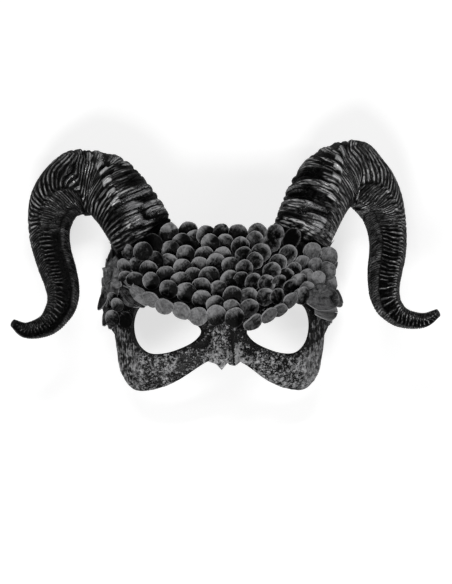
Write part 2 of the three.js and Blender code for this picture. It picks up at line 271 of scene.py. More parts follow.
def lay_out(made, layer, flat):
    """Gives the UV map a flat place for every corner."""
    corners = np.empty(len(made.data.loops), int)
    made.data.loops.foreach_get("vertex_index", corners)
    layer.data.foreach_set("uv", flat.reshape(-1, 2)[corners].astype(np.float32).ravel())


def weld(made, gap, close=False):
    """Joins corners that touch, and can close open ends with fans."""
    shape = bmesh.new()
    shape.from_mesh(made.data)
    bmesh.ops.remove_doubles(shape, verts=shape.verts, dist=gap * MM)
    if close:
        rims = [edge for edge in shape.edges if edge.is_boundary]
        filled = bmesh.ops.holes_fill(shape, edges=rims, sides=0)["faces"]
        bmesh.ops.poke(shape, faces=filled)
        bmesh.ops.recalc_face_normals(shape, faces=shape.faces)
    shape.to_mesh(made.data)
    shape.free()
    made.data.update()


def joined(name, parts):
    pick(*parts)
    bpy.ops.object.join()
    made = bpy.context.active_object
    made.name = made.data.name = name
    return made


def finish_piece(made, material, nodes):
    made.data.materials.append(look(material))
    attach(made, "root")
    if nodes:
        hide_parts(*nodes)
    deselect()


# The outline of the shell

TEMPLE_LINE = [(79, 16), (80, 7), (90, 2), (90, -35), (77, -42.5), (73.2, -48)]
CHEEK_LINE = [
    (72, -59), (69.8, -71.5), (65.8, -80), (60, -86), (52, -87), (41, -84.3), (30, -79), (18, -70.4),
    (11.5, -65.7),
]
TORN_TIP = [(7.6, -69), (4.6, -68.4), (1.9, -65.9), (-2.6, -71.4), (-6.6, -67.6)]
HORN_SHELF = [(22, 23), (39, 26), (47, 35), (60, 39.5), (72, 34), (78, 25)]
CROWN = (0, 22.5)
EYE_RIM = [
    (16.2, -44.8), (20.8, -39.9), (33.5, -33.2), (47, -27.1), (53.2, -26), (59.2, -31.5), (61.6, -42),
    (58.9, -53.4), (51, -60.5), (39, -60.2), (25, -55), (18, -49.6),
]


def curve_through(points, closed=False, steps=8):
    """A smooth curve through points in a plane."""
    points = np.array(points, float)
    first, last = (points[-1:], points[:2]) if closed else (points[:1], points[-1:])
    points = np.concatenate([first, points, last])
    share = np.arange(steps)[:, None] / steps
    made = [spline(*four, share) for four in zip(points, points[1:], points[2:], points[3:])]
    return np.concatenate(made if closed else [*made, points[-2:-1]])


def mirrored(points):
    return [(-x, y) for x, y in reversed(points)]


def shell_outline():
    right_cheek = curve_through([TEMPLE_LINE[-1]] + CHEEK_LINE)
    left_cheek = curve_through(mirrored(CHEEK_LINE) + [mirrored(TEMPLE_LINE)[0]])
    right_shelf = curve_through([CROWN] + HORN_SHELF)
    left_shelf = curve_through(mirrored(HORN_SHELF) + [CROWN])
    return np.concatenate([
        right_shelf, TEMPLE_LINE[:-1], right_cheek, TORN_TIP, left_cheek, mirrored(TEMPLE_LINE)[1:],
        left_shelf[:-1],
    ])


def signed_distance(outline, points):
    """Distance of points from a closed outline, positive inside it."""
    nearest = np.full(len(points), np.inf)
    inside = np.zeros(len(points), bool)
    for a, b in zip(outline, np.roll(outline, -1, axis=0)):
        along = b - a
        share = np.clip((points - a) @ along / max(along @ along, 1e-9), 0, 1)
        nearest = np.minimum(nearest, np.linalg.norm(points - a - share[:, None] * along, axis=1))
        crosses = (a[1] > points[:, 1]) != (b[1] > points[:, 1])
        if a[1] != b[1]:
            at = a[0] + (points[:, 1] - a[1]) * along[0] / along[1]
            inside ^= crosses & (points[:, 0] < at)
    return np.where(inside, nearest, -nearest)


OUTLINE = shell_outline()
RIGHT_EYE = curve_through(EYE_RIM, closed=True)
LEFT_EYE = RIGHT_EYE * [-1, 1]


def shell_room(points):
    """How far inside the shell's own material points seen from the front are, and how far from an eye."""
    eye = np.maximum(signed_distance(RIGHT_EYE, points), signed_distance(LEFT_EYE, points))
    return np.minimum(signed_distance(OUTLINE, points), -eye), -eye


# The shell

SHELL_LOW, SHELL_HIGH = -89.0, 41.0
TABLE_GAP = 0.05
LUMP_SIZE, GRAIN_SIZE, STREAK_WIDTH, STREAK_LENGTH = 5.5, 1.7, 1.6, 8.0
CREASE_DEPTH, LOBE_LINE_DEPTH, LIP_DEPTH, EDGE_DEPTH = 1.1, 0.7, 0.9, 0.35


def rim_distance(share, y):
    """Distance round the face of places given by share of the way to the rim, from -1 to 1, and height."""
    left, right = (np.interp(y, GIRTH.heights, RIM_REACH[side]) for side in (-1, 1))
    return np.where(share < 0, -share * left, share * right)


def room_at(place):
    """How far inside the shell places are, given by share of the way to the rim and height."""
    share, y = place.T
    return shell_room(face_point(GIRTH.angle(rim_distance(share, y), y), y)[:, :2])[0]


def settle_on_edge(place, cell, rounds=8, nudge=0.05, stride=0.7, farthest=1.3):
    """Moves places just outside the shell onto its edge, by steps counted in cells of the grid."""
    began = place.copy()
    sideways, upwards = np.diag(cell * nudge)
    for _ in range(rounds):
        room = room_at(place)
        moved = [room_at(place + sideways) - room, room_at(place + upwards) - room]
        climb = np.stack(moved, axis=1) / nudge
        step = -room[:, None] * climb / np.maximum((climb**2).sum(1, keepdims=True), 1e-6)
        place = place + np.clip(step, -stride, stride) * cell
        place = began + np.clip(place - began, -farthest * cell, farthest * cell)
        place[:, 0] = np.clip(place[:, 0], -1, 1)
    return place, room_at(place)


def shell_sheet(columns, rows, stray_by=0.25):
    """The trimmed outer sheet: places, and faces as corner indices."""
    shares, heights = np.linspace(-1, 1, columns), np.linspace(SHELL_LOW, SHELL_HIGH, rows)
    cell = np.array([shares[1] - shares[0], heights[1] - heights[0]])
    place = np.stack(np.meshgrid(shares, heights), -1).reshape(-1, 2)
    inside = room_at(place) > 0
    number = np.arange(rows * columns).reshape(rows, columns)
    corners = [number[:-1, :-1], number[:-1, 1:], number[1:, 1:], number[1:, :-1]]
    quads = np.stack(corners, -1).reshape(-1, 4)
    kept, quads = np.unique(quads[inside[quads].any(axis=1)], return_inverse=True)
    quads = quads.reshape(-1, 4)
    outside = ~inside[kept]
    place = place[kept]
    place[outside], left_over = settle_on_edge(place[outside], cell)
    stray = np.zeros(len(place), bool)
    stray[outside] = left_over < -stray_by
    return place, quads[~stray[quads].any(axis=1)]


def walled(outer, inner, quads):
    """Corners and faces of the closed wall between two sheets that have the same faces."""
    count = len(outer)
    edges = np.concatenate([quads[:, [n, (n + 1) % 4]] for n in range(4)])
    first, uses = np.unique(np.sort(edges, axis=1), axis=0, return_index=True, return_counts=True)[1:]
    start, end = edges[first[uses == 1]].T
    sides = np.stack([end, start, start + count, end + count], axis=1)
    return np.concatenate([outer, inner]), np.concatenate([quads, quads[:, ::-1] + count, sides])


def build_shell(sizes):
    """The moulded face shell, with its leathery surface, eye rims and the crease down the nose."""
    place, quads = shell_sheet(sizes.columns, sizes.rows)
    share, y = place.T
    distance = rim_distance(share, y)
    theta = GIRTH.angle(distance, y)
    point, out = face_point(theta, y), face_axes(theta, y)[2]
    x = point[:, 0]
    room, from_eye = shell_room(point[:, :2])

    lumps = Noise(11).layered(distance / LUMP_SIZE, y / LUMP_SIZE)
    grain = Noise(12).layered(distance / GRAIN_SIZE, y / GRAIN_SIZE, layers=2)
    streaks = Noise(13).layered(distance / STREAK_WIDTH, y / STREAK_LENGTH, layers=2)
    temple = rise(np.abs(x), 52, 12) * fall(y, -35, 8)
    crease = bell(x, 4.2 + 0.11 * (-44 - y), 0.75) * fall(y, -40, 8)
    lobe_line = bell(x, -7.5 - 0.1 * (y + 60), 1.4) * fall(y, -48, 8) * 0.5
    lip = np.exp(-np.maximum(from_eye, 0) / 1.6) * (y < -20)
    edge = np.exp(-np.maximum(room, 0) / 1.2)
    relief = sizes.lumps / MM * (0.6 * lumps + 0.5 * grain * (1 - temple) + 0.5 * streaks * temple)
    relief = relief - CREASE_DEPTH * crease - LOBE_LINE_DEPTH * lobe_line
    relief = relief - LIP_DEPTH * lip - EDGE_DEPTH * edge
    corners, faces = walled(point + out * relief[:, None], point - out * sizes.wall / MM, quads)

    nose = fall(np.abs(x), 14, 7) * fall(y, -40, 8)
    silver = 0.41 + 0.06 * lumps + 0.12 * grain - 0.4 * crease - 0.14 * lip
    silver = silver + nose * (0.03 + 0.07 * fall(x, 4, 4)) + 0.08 * fall(y, -50, 12)
    silver = silver + 0.03 * rise(x, 10, 10) + 0.24 * bell(x, 9, 3.5) * fall(y, -52, 8)
    silver = silver - 0.06 * bell(np.abs(x), 20, 7) * rise(y, -66, 8)
    silver = np.clip(silver, 0, 1) * fall(y, -20, 14)
    made = mesh_object("face_shell", kept_above(corners, TABLE_GAP), faces.tolist())
    store(made, silver=np.concatenate([silver, silver * 0.2]), streaked=np.concatenate([temple, temple]))
    weld(made, SHELL_GAP)
    made.data.shade_smooth()
    return made


# The horns

# Places along the right horn's middle line, with its radius and the angle of the first keel from the front,
# and how much nearer to the midline, lower and thicker the left horn is there.
HORN_STATIONS = np.array([
    (55.4, 19.6, 43.3, 21.2, 137, 2.4, 1.6, 1.6), (62.9, 36, 38, 22.2, 131, 0.9, 2, 0.8),
    (70.6, 49.6, 32.5, 22.8, 118, 0, 3.2, -0.2), (80.2, 59.6, 26, 23.8, 88, 0, 4.6, -0.6),
    (92.6, 63.6, 22.4, 24.2, 48, -0.6, 7.4, -0.8), (104, 58.2, 21.8, 21, 2, -0.4, 5.4, 0.8),
    (112.6, 47.2, 22.4, 18.2, -18, -0.4, 3, 0.6), (117.2, 34.5, 25, 15.5, -27, 0.2, 2, 0.6),
    (118.4, 22, 30, 13.8, -31, 0.6, 1, 0.4), (117, 10, 38, 13.1, -32, 1.2, 2.2, 0),
    (113.9, -1, 46, 12.6, -32, 1.4, 2.4, 0), (111.2, -11.5, 54, 11.5, -33, 1.4, 2.4, 0.2),
    (110.7, -21.2, 60, 10.5, -33, 1.4, 1.2, 0.3), (113.6, -29.2, 63.5, 9.3, -30, 1.6, 1.6, 0.5),
    (121.8, -36.2, 66, 7.2, -22, 1.6, 4.4, 0.4), (135, -38, 70, 5.2, -14, 1.4, 6.2, 0.2),
    (144, -32.8, 77, 2.8, -8, 1.4, 6.6, 0),
])
HORN_PINCH = 21.8  # the farthest that a horn reaches inwards from its middle line
HORN_MEAN = 0.965  # radius between the keels, as a share of the table's
HORN_KEELS = [(0, 0.07, 17), (67.5, 0.06, 15), (-112.5, 0.08, 18)]  # angle, height and width
HORN_CHANNEL = (34, -0.1, 19)
KEEL_CREST = (6.5, 9, 8)  # width of the crest of each keel
ROOT_LENGTH = 6.5  # how far the root runs on into the face
ROOT_SHARE, ROOT_GAP = 0.3, 0.1  # share of the length that can touch the face, and its gap to it
ROOT_LEAN = 0.1  # share of the length over which the rings stand up on the face
# Distances from the root, and the share of its radius that the horn's front side has there.
ROOT_SWELL = ([0, 4, 7.5, 11.5, 15.5, 20], [-0.1, 0.28, 0.58, 0.82, 0.95, 1.0])

# Zones round a horn: where each begins and ends, and how softly.
STRIATED, CHANNEL, HEM, OUTSIDE = (-104, -8, 10), (8, 58, 6), (68, 118, 8), (-104, 60, 10)
# How fine the folds are by share of the horn's length, and how far they lean, along it and round it.
FOLD_SHRINK = ([0, 0.3, 0.6, 1], [1, 1, 0.62, 0.42])
LEAN_OVER, LEAN_OVER_ROUND = ([0.2, 0.36, 0.46, 0.54], [0, 1, 1, 0]), ([-180, -100, 0], [0, 22, 0])
LEAN_UNDER, LEAN_UNDER_ROUND = ([0.24, 0.32, 0.46, 0.54], [0, 7, -6, 0]), ([0, 58, 110], [0, 1, 0])
# Distances between folds, and between what stands in rows.
FOLD_PITCH, HAIR_PITCH, ISLAND_PITCH, HEM_PITCH, FAN_PITCH = 3.1, 1.7, 1.9, 2.6, 2.3
RUNG_PITCH, BEAD_PITCH, KNOB_PITCH = 5.6, 4.6, 6.2
# Swirls that drift the folds: how far, the length of one, where its noise starts, and how many go round.
SWIRLS = [(1.6, 16, 0, 7), (0.6, 6, 40, 14)]
ARM_FROM, FRONT_UNTIL = 0.53, 0.42  # shares of the length
PALENESS = {-1: 1.25, 1: 1.42}


def turned(angle):
    return (angle + 180) % 360 - 180


class HornLine:
    """Middle line, radius and keel angle along one horn, by share of its length."""

    def __init__(self, side, steps=4001):
        table = HORN_STATIONS[:, :5].copy()
        if side < 0:
            nearer, lower, thicker = HORN_STATIONS[:, 5:].T
            table[:, 0] = nearer - table[:, 0]
            table[:, 1] -= lower
            table[:, 3] += thicker
        self.side = side
        first = table[1] - table[0]
        table = np.concatenate([[table[0] - first * ROOT_LENGTH / np.linalg.norm(first[:3])], table])
        self.table = np.concatenate([[2 * table[0] - table[1]], table, [2 * table[-1] - table[-2]]])
        self.spans = len(table) - 1
        self.t = np.linspace(0, 1, steps)
        marks = self.at(self.t)[:, :3]
        self.run = np.concatenate([[0], np.cumsum(np.linalg.norm(np.diff(marks, axis=0), axis=1))])
        self.length = self.run[-1]

    def at(self, t):
        span = np.clip(np.floor(t * self.spans).astype(int), 0, self.spans - 1)
        return spline(*(self.table[span + n] for n in range(4)), (t * self.spans - span)[:, None])

    def frames(self, shares, step=1e-4):
        """Middle, directions along, to the front and inwards, radius and keel angle."""
        t = np.interp(shares * self.length, self.run, self.t)
        values = self.at(t)
        tangent = unit(self.at(np.minimum(t + step, 1))[:, :3] - self.at(np.maximum(t - step, 0))[:, :3])
        front = unit(np.array([0, 0, 1.0]) - tangent * tangent[:, 2:3])
        inward = np.cross(tangent, front) * self.side
        return values[:, :3], tangent, front, inward, values[:, 3], values[:, 4]


def horn_section(angle):
    radius = np.full_like(angle, HORN_MEAN)
    for at, height, spread in [*HORN_KEELS, HORN_CHANNEL]:
        radius = radius + height * bell(turned(angle - at), 0, spread)
    return radius


class HornSkin:
    """Places on the sheet rolled into one horn: their zones, and how the folds run through them."""

    def __init__(self, along, length, angle, side, seed):
        self.along, self.length, self.angle, self.side = along, length, angle, side
        self.share = share = along / length
        self.shrink = np.interp(share, *FOLD_SHRINK)
        self.ring = np.cumsum(1 / self.shrink, axis=0) * (along[1:2, :] - along[0:1, :])
        self.swirl, self.fine, self.coarse, self.patch = (Noise(seed + n) for n in range(4))
        laid = self.ring + np.interp(share, *LEAN_OVER) * np.interp(angle, *LEAN_OVER_ROUND)
        laid = laid + np.interp(share, *LEAN_UNDER) * np.interp(angle, *LEAN_UNDER_ROUND)
        self.drift = 0
        for far, size, start, count in SWIRLS:
            self.drift = self.drift + far * self.swirl.round(laid / size + start, angle, count)
        self.place = laid + self.drift
        self.fold = folds(self.place, FOLD_PITCH)
        self.strength = 0.75 + 0.6 * self.patch.round(laid / 9, angle, 12)
        self.wide = self.coarse.round(self.place / 2.8, angle, 6)
        self.island = smooth(np.abs(self.wide) * 3 - 0.15)
        self.arm = rise(share, ARM_FROM, 0.05)
        self.striated, self.channel, self.hem = (between(angle, *zone) for zone in (STRIATED, CHANNEL, HEM))
        self.front = (1 - between(angle, *OUTSIDE)) * (1 - rise(share, FRONT_UNTIL, 0.1))
        self.back = 1 - between(angle, *OUTSIDE) - self.front

    def row(self, pitch, drift):
        """Waves from -1 to 1 of things that stand in a row."""
        return np.sin(2 * np.pi * (self.ring + drift * self.drift) / pitch)


def striated_zone(skin):
    """Height and paleness of the ribs over the outside, evenly pale at the right root; the paleness is wear
    from rubbing on the crests, with a narrow painted highlight along each.
    """
    even = fall(skin.share, 0.22, 0.1) * (skin.side > 0)
    hairs = folds(skin.place + 0.8 * skin.drift, HAIR_PITCH) * skin.shrink
    ribs = skin.fold * skin.strength * skin.shrink**0.5 * (1 - 0.6 * even) * (1 + 0.35 * skin.arm)
    # Wear from rubbing over each crest, and a narrower painted highlight along its top.
    pale = (0.36 * rise(skin.fold, -0.1, 0.7) + 0.5 * rise(skin.fold, 0.2, 0.4)) * skin.strength
    pale = (0.03 + pale * (1 - 0.65 * even) + 0.26 * even) * (1 - 0.4 * skin.arm) + 0.08 * (skin.side > 0)
    return skin.striated * (0.6 * ribs + 0.22 * hairs), skin.striated * pale


def front_zone(skin):
    """Height and paleness of the wrinkled islands and lens-shaped hollows of the front; the paleness is wear
    from rubbing with painted highlights on the peaks and along thin lines.
    """
    peak = smooth(np.abs(skin.wide) * 2.4 - 0.35)
    bowl = rise(-skin.swirl.round(skin.place / 4.4 + 70, skin.angle, 9), 0.36, 0.16)
    bowl = bowl * fall(skin.share, 0.3, 0.06)
    narrow = folds(skin.place + 1.3 * skin.wide, ISLAND_PITCH)
    height = 0.6 * skin.island + 0.5 * peak - 0.6 - 1.4 * bowl * (1 - 0.5 * skin.island) + 0.22 * narrow
    patchy = 0.75 + 0.9 * skin.patch.round(skin.place / 5 + 30, skin.angle, 6)
    # Painted highlights, brightest on the peaks of the islands and along thin lines through them.
    light = (0.2 * skin.island + 0.8 * peak) * patchy
    light = 0.02 + light * (0.2 + 1.15 * rise(narrow, -0.15, 0.7))
    return skin.front * height, skin.front * light * (1 - 0.92 * bowl)


def back_zone(skin):
    """Height and paleness of the plain back and the ribbed hem under it."""
    ribs = folds(skin.ring + 0.5 * skin.drift, HEM_PITCH)
    hem = skin.hem * (1 - skin.front)
    height = skin.back * (1 - skin.hem) * 0.4 * skin.fold * skin.strength
    height = height + hem * (0.1 + 0.95 * ribs) * skin.shrink
    return height, skin.back * 0.12 + hem * (0.05 + 0.36 * rise(ribs, -0.2, 0.8) * skin.strength)


def channel_zone(skin):
    """Height and paleness of the channel between two keels: a fan of folds, then rungs along the arm, which
    are painted pale as highlights.
    """
    fan = folds(skin.place, FAN_PITCH)
    ladder = fall(skin.angle, 50, 26) if skin.side < 0 else 1.0
    rung = bell(((skin.ring + 1.2 * skin.drift) / RUNG_PITCH) % 1, 0.5, 0.11)
    rung = rung * smooth(1.1 + 1.6 * skin.patch.round(skin.ring / 3, skin.angle, 7)) * ladder
    height = (1 - skin.arm) * 0.3 * fan + skin.arm * (rung - 1.1)
    # The rungs along the arm carry painted highlights.
    pale = (1 - skin.arm) * (0.1 + 0.45 * rise(fan, 0.1, 0.5) * skin.strength) + skin.arm * 0.75 * rung
    return skin.channel * height, skin.channel * pale


def horn_relief(skin, radius, wrinkles):
    """Wrinkles of the casting in millimetres, its silver, which also stands for a painted reflection, and how
    pale it is from rubbing, with painted highlights along crests, beads and rungs.
    """
    share, angle = skin.share, skin.angle
    zones = (striated_zone, front_zone, back_zone, channel_zone)
    height, pale = (sum(layers) for layers in zip(*(zone(skin) for zone in zones)))
    crests = zip(HORN_KEELS, KEEL_CREST)
    first, second, third = (bell(turned(angle - keel[0]), 0, width) for keel, width in crests)
    bead = smooth(0.5 + 0.75 * skin.row(BEAD_PITCH, 0.7))
    knob = smooth(0.3 + 1.6 * skin.row(KNOB_PITCH, 0.8)) * rise(share, 0.1, 0.06) * fall(share, 0.34, 0.05)
    knob = knob * between(turned(angle - HORN_KEELS[2][0]), -7, 6, 4)
    lit = (1.0 if skin.side > 0 else 0.45) * rise(share, 0.36, 0.1)
    height = height + first * (0.15 + 0.6 * bead) * skin.shrink * (0.3 + 0.7 * lit)
    height = height + third * 0.1 + 1.1 * knob + second * 0.15 * skin.shrink * skin.arm
    # Paleness from rubbing with its painted highlights, the pale knobs, and the painted highlight on the
    # beads of the first keel, brighter on the right horn.
    pale = np.maximum(np.maximum(pale * (1 - 0.7 * third), knob * 1.3), first * bead * lit)

    pits = skin.fine.layered(skin.ring / 1.3, np.radians(angle) * radius / 1.3, layers=2)
    height = (height * wrinkles + 0.09 * pits) * np.minimum(1, radius / 8) * fall(skin.along, skin.length, 8)
    # Silver dry-brushed near the root, laid wide over the front so that it also stands for a painted
    # reflection.
    silver = fall(share, 0.26, 0.2) * (0.62 * skin.front + 0.2 * skin.striated) * (0.45 + 0.55 * skin.island)
    silver = silver * (0.9 + 0.6 * skin.patch.round(skin.ring / 8 + 60, angle, 10))
    start = rise(skin.along, 5, 9)
    pale = pale * (0.3 + 0.7 * start) * PALENESS[skin.side]
    return height, np.clip(silver * start, 0, 1), np.clip(pale, 0, 1.3)


def build_horn(name, side, seed, sizes):
    """One cast horn: a long sheet of rings rolled round the middle line and closed at root and tip."""
    line = HornLine(side)
    shares = np.linspace(0, 1, sizes.rings)
    angles = np.linspace(0, 360, sizes.columns + 1)
    centre, tangent, front, inward, radius, keel = line.frames(shares)
    share, angle = np.meshgrid(shares, angles, indexing="ij")
    run, wide = shares * line.length, radius[:, None]
    skin = HornSkin(share * line.length, line.length, turned(angle), side, seed)
    height, silver, pale = horn_relief(skin, wide, sizes.wrinkles)
    for values in (height, silver, pale):
        values[:, -1] = values[:, 0]
    seen = np.radians(angle + keel[:, None])
    inside = np.maximum(0, np.sin(seen)) * bell(share, 0.3, 0.16)
    swell = 1 - (1 - np.interp(run, *ROOT_SWELL)[:, None]) * smooth(np.cos(seen) * 1.2)
    reach = wide * swell * horn_section(turned(angle)) + height * (1 - 0.7 * inside)
    offset = front[:, None, :] * (reach * np.cos(seen))[..., None]
    offset = offset + inward[:, None, :] * np.minimum(HORN_PINCH, reach * np.sin(seen))[..., None]
    level = unit(tangent * [1, 1, 0])
    lean = np.maximum(0, 1 - shares / ROOT_LEAN) / (tangent * level).sum(1)
    slide = (offset * level[:, None, :]).sum(2) * lean[:, None]
    held = np.maximum(0, ROOT_LENGTH - run)[:, None] * (1 - smooth(np.cos(seen) * 1.5 - 0.5))
    points = centre[:, None, :] + offset + tangent[:, None, :] * (held - slide)[..., None]
    points = kept_above(seat_on_face(points, share), TABLE_GAP)
    uv = np.stack([angle / 360, skin.place / 100], -1)
    made = grid_object(name, points, {"silver": silver, "pale": pale}, uv)
    weld(made, SEAM_GAP, close=True)
    made.data.shade_smooth()
    return made


def seat_on_face(points, share, rounds=6, step=0.002, flattest=5, stride=0.2, limit=1.5):
    """Cuts the root back to the face it is glued on."""
    low = share < ROOT_SHARE
    x, y, z = points[low].T
    theta = GIRTH.angle(x, y)
    for _ in range(rounds):
        at, ahead = face_point(theta, y)[:, 0], face_point(theta + step, y)[:, 0]
        slope = (ahead - at) / step
        turn = (x - at) / np.where(np.abs(slope) < flattest, flattest, slope)
        theta = np.clip(theta + np.clip(turn, -stride, stride), -limit, limit)
    at = face_point(theta, y)
    covered = (shell_room(np.stack([x, y], 1))[0] > 0) & (np.abs(at[:, 0] - x) < 1)
    z = np.where(covered, np.maximum(z, at[:, 2] + ROOT_GAP), z)
    points[low] = np.stack([x, y, z], 1)
    return points


# The scales

# Scales as they lie, from the crown down: distance from the midline round the face, height of the free
# edge's top, and width. Further numbers roll the scale in its own plane, turn one side up and tilt its free
# edge up, lift it in millimetres, make it darker or paler, and give it even painted light in place of a lit
# free edge over a painted shaded lower part.
# Most of the distances and heights were worked out outside this script, from places read in the photo. The
# rest were set one by one.
FOREHEAD_SCALES = [
    (-36.3, 27.3, 12.2, 0, 0, 24, 2), (-24.1, 28.8, 12.8), (-12.5, 26.3, 12.4),
    (-2.1, 27.3, 11.5, 0, 16, 20, 0, -2.5), (9.5, 27, 13), (22.9, 28.2, 12.6),
    (34.6, 26.8, 12.8, 6, 14, 24, 1, -1.5), (-46, 20, 12.6, 14, 0, 28, 3, -5),
    (44.4, 24, 13.6, 10, 12, 28, 3, -4), (-28.7, 20.8, 12.8), (-19.6, 22.9, 12.6, 0, 8), (-9.4, 20.5, 12.4),
    (0.3, 20.4, 11.6), (10.6, 18.5, 12.4, 0, 12), (20.5, 22.4, 12.2), (32.8, 21.5, 13, 4, 10),
    (-62.8, 12.6, 9.4, 0, 10, 26, 6, 1), (-53, 14.6, 13, -4, 8, 26, 3.6, 1), (-35.9, 16, 12.2),
    (-25.7, 12.8, 12.8), (-13.9, 12.1, 13, 0, 6), (-1.7, 11.9, 11.5, 0, 8), (12.8, 11.9, 12, 0, 14),
    (24.9, 14.2, 13), (42.5, 13.1, 13, 0, 0, 24, 2), (60.8, 14.9, 12.6, 8, -18, 24, 2),
    (73, 12.7, 14, 6, -26, 22, 2), (-68.3, 4.6, 11), (-59, 5.2, 12, -4), (-46.3, 9.1, 12.8),
    (-37.6, 7.1, 13), (-27.9, 4, 12.6), (-17.1, 5, 12.4), (-6.1, 7.4, 13), (4.2, 5.2, 12),
    (13.4, 3.2, 12, 0, 10), (20.6, 8.4, 11), (31.7, 1.8, 12.4), (36.1, 7.1, 12.4), (47.3, 1.9, 12),
    (54.5, 6.5, 12.6), (64.4, 5.3, 12, 0, -16), (74.5, 2.4, 13, 12, -26), (-50.6, 2.7, 12.8),
    (-49.3, -4.8, 11.6), (-39.5, -0.9, 12.4), (-29.5, -4.6, 13), (-21.1, -1.7, 12), (-10.9, -0.9, 13.4),
    (3.1, -3.6, 13, 0, 6), (11.1, -4.5, 11), (18.9, -5.5, 11.6, 0, 12), (28.1, -6.4, 11.6, 0, 8),
    (37.1, -6.8, 11.8, 0, 10), (41.7, -2, 12), (51.5, -5.8, 12.4), (57.6, -2.3, 12), (66.1, -4, 12, 0, -18),
    (77.8, -7.4, 13, 0, -26), (-60.5, -4.6, 12, 0, 8), (-67.5, -4, 11, 0, 14), (-37.4, -10, 12.6),
    (-25.8, -11.7, 13.2), (-15.8, -8.4, 13), (-4.4, -10.5, 11.6), (5, -14.1, 13), (15.8, -15, 12.2),
    (27.2, -15.1, 12.4), (36.2, -15.4, 11.2, 0, 8), (45.5, -9.2, 11.6, 0, 10),
    (53.2, -14.2, 12, -16, 0, 26), (58.1, -11, 12.4), (67.6, -13.4, 11, 0, -8, 8, -0.3),
    (-77.3, -18.3, 6.6, 0, 20, 14, 3.4), (-72.7, -22.4, 9, 0, 18, 14, 3.6, 2),
    (-76.4, -30.5, 10.6, 0, 20, 14, 2.6, 2), (-68.1, -31.4, 10.4, 0, 10, 10, 0.8, -5),
]
BROW_SCALES = [
    (-48.3, -16.8, 12, 22, 0, 36, 1, 1, 1), (-39.4, -20.5, 12.6, 20, 0, 36, 1, 1, 1),
    (-28.3, -23.4, 13.4, 16, 0, 32, 1, 1, 1), (-17.9, -27.7, 12.8, 8, 0, 22, 0, 1, 0.8),
    (-15.5, -16.4, 12.8), (-6.4, -20.5, 12.8, 0, 0, 20, 0, 1), (-5.8, -27.2, 13.4, 0, 0, 20, 0, 1),
    (4.4, -23.1, 12.8), (16.5, -22.5, 12.8, 0, 0, 20, 0, 1), (6.2, -29, 12.6, 0, 0, 20, 0, 0),
    (17, -30.8, 14.2, -24, 0, 46, 0.6, 0, 0.7), (28.3, -26.4, 12.4, -22, 0, 38, 1, 0, 0.9),
    (36.1, -24, 11.6, -22, 0, 38, 1, -1, 0.8), (44, -17.4, 12, -20, 0, 36, 1, 0, 0.8),
]

# Rows that run on round the temples.
SIDE_ROWS, SIDE_TOP, SIDE_DROP = 7, 11.5, 6.5
SIDE_FROM, SIDE_SPACING, SIDE_SHIFT, SIDE_WIDTH = {-1: 92.0, 1: 90.0}, 11.4, 5.6, 12.4
LEAF_TOP, LEAF_END = -25, 95  # the lowest right leaf lies here instead of discs

# How scales differ from one another, each from its lowest to its highest value.
VARIES = {
    "tallness": (0.98, 1.08), "tilt": (-5.0, 5.0), "roll": (-9, 9), "turn": (-8, 8), "dome": (-0.25, 0.55),
    "bend": (-0.4, 0.4), "crease": (0, 1), "crease_way": (-0.6, 0.6), "wave": (0.05, 0.28),
    # The painted light also differs: the way it leans, a painted shade in the middle of some scales, and how
    # far it reaches.
    "phase": (0, 2 * math.pi), "tone": (-1, 1), "brush_way": (-1.0, 0.2), "hollow": (0, 1),
    "brush_reach": (-0.25, 0.25),
}
SCALE_CREASE = 1.8  # depth of the deepest crease
SCALE_GAP = 0.6
SHARP_ANGLE = 50
DARK_TONE = -2  # darker scales than this have no light rim from wear and no painted highlight on it
# Even painted light of the scales painted evenly, and how much calmer their clouds and the right temple's
# are.
EVEN_PAINTED_LIGHT, EVEN_CALM, SIDE_CALM = 0.72, 0.4, 0.5
UV_RADIUS, UV_TURN = 0.45, 0.9


def scale_blank(sides):
    """A thin disc one unit in radius and thickness, with a rim and a middle: corners and faces."""
    deselect()
    bpy.ops.mesh.primitive_circle_add(vertices=sides, radius=1, fill_type="NGON")
    disc = bpy.context.active_object
    bpy.ops.object.mode_set(mode="EDIT")
    bpy.ops.mesh.select_all(action="SELECT")
    bpy.ops.mesh.extrude_region_move(TRANSFORM_OT_translate={"value": (0, 0, 1)})
    bpy.ops.mesh.inset(thickness=0.1)
    bpy.ops.mesh.inset(thickness=0.4)
    bpy.ops.mesh.poke()
    bpy.ops.mesh.select_all(action="SELECT")
    bpy.ops.mesh.normals_make_consistent(inside=False)
    bpy.ops.object.mode_set(mode="OBJECT")
    corners = np.array([tuple(vertex.co) for vertex in disc.data.vertices])
    faces = [tuple(face.vertices) for face in disc.data.polygons]
    bpy.data.objects.remove(disc)
    return corners, faces


def turn_about(points, axis, angle):
    """Turns points about one of their own axes, 0 to 2."""
    c, s = math.cos(math.radians(angle)), math.sin(math.radians(angle))
    first, second = [n for n in range(3) if n != axis]
    made = points.copy()
    made[:, first] = c * points[:, first] - s * points[:, second]
    made[:, second] = s * points[:, first] + c * points[:, second]
    return made


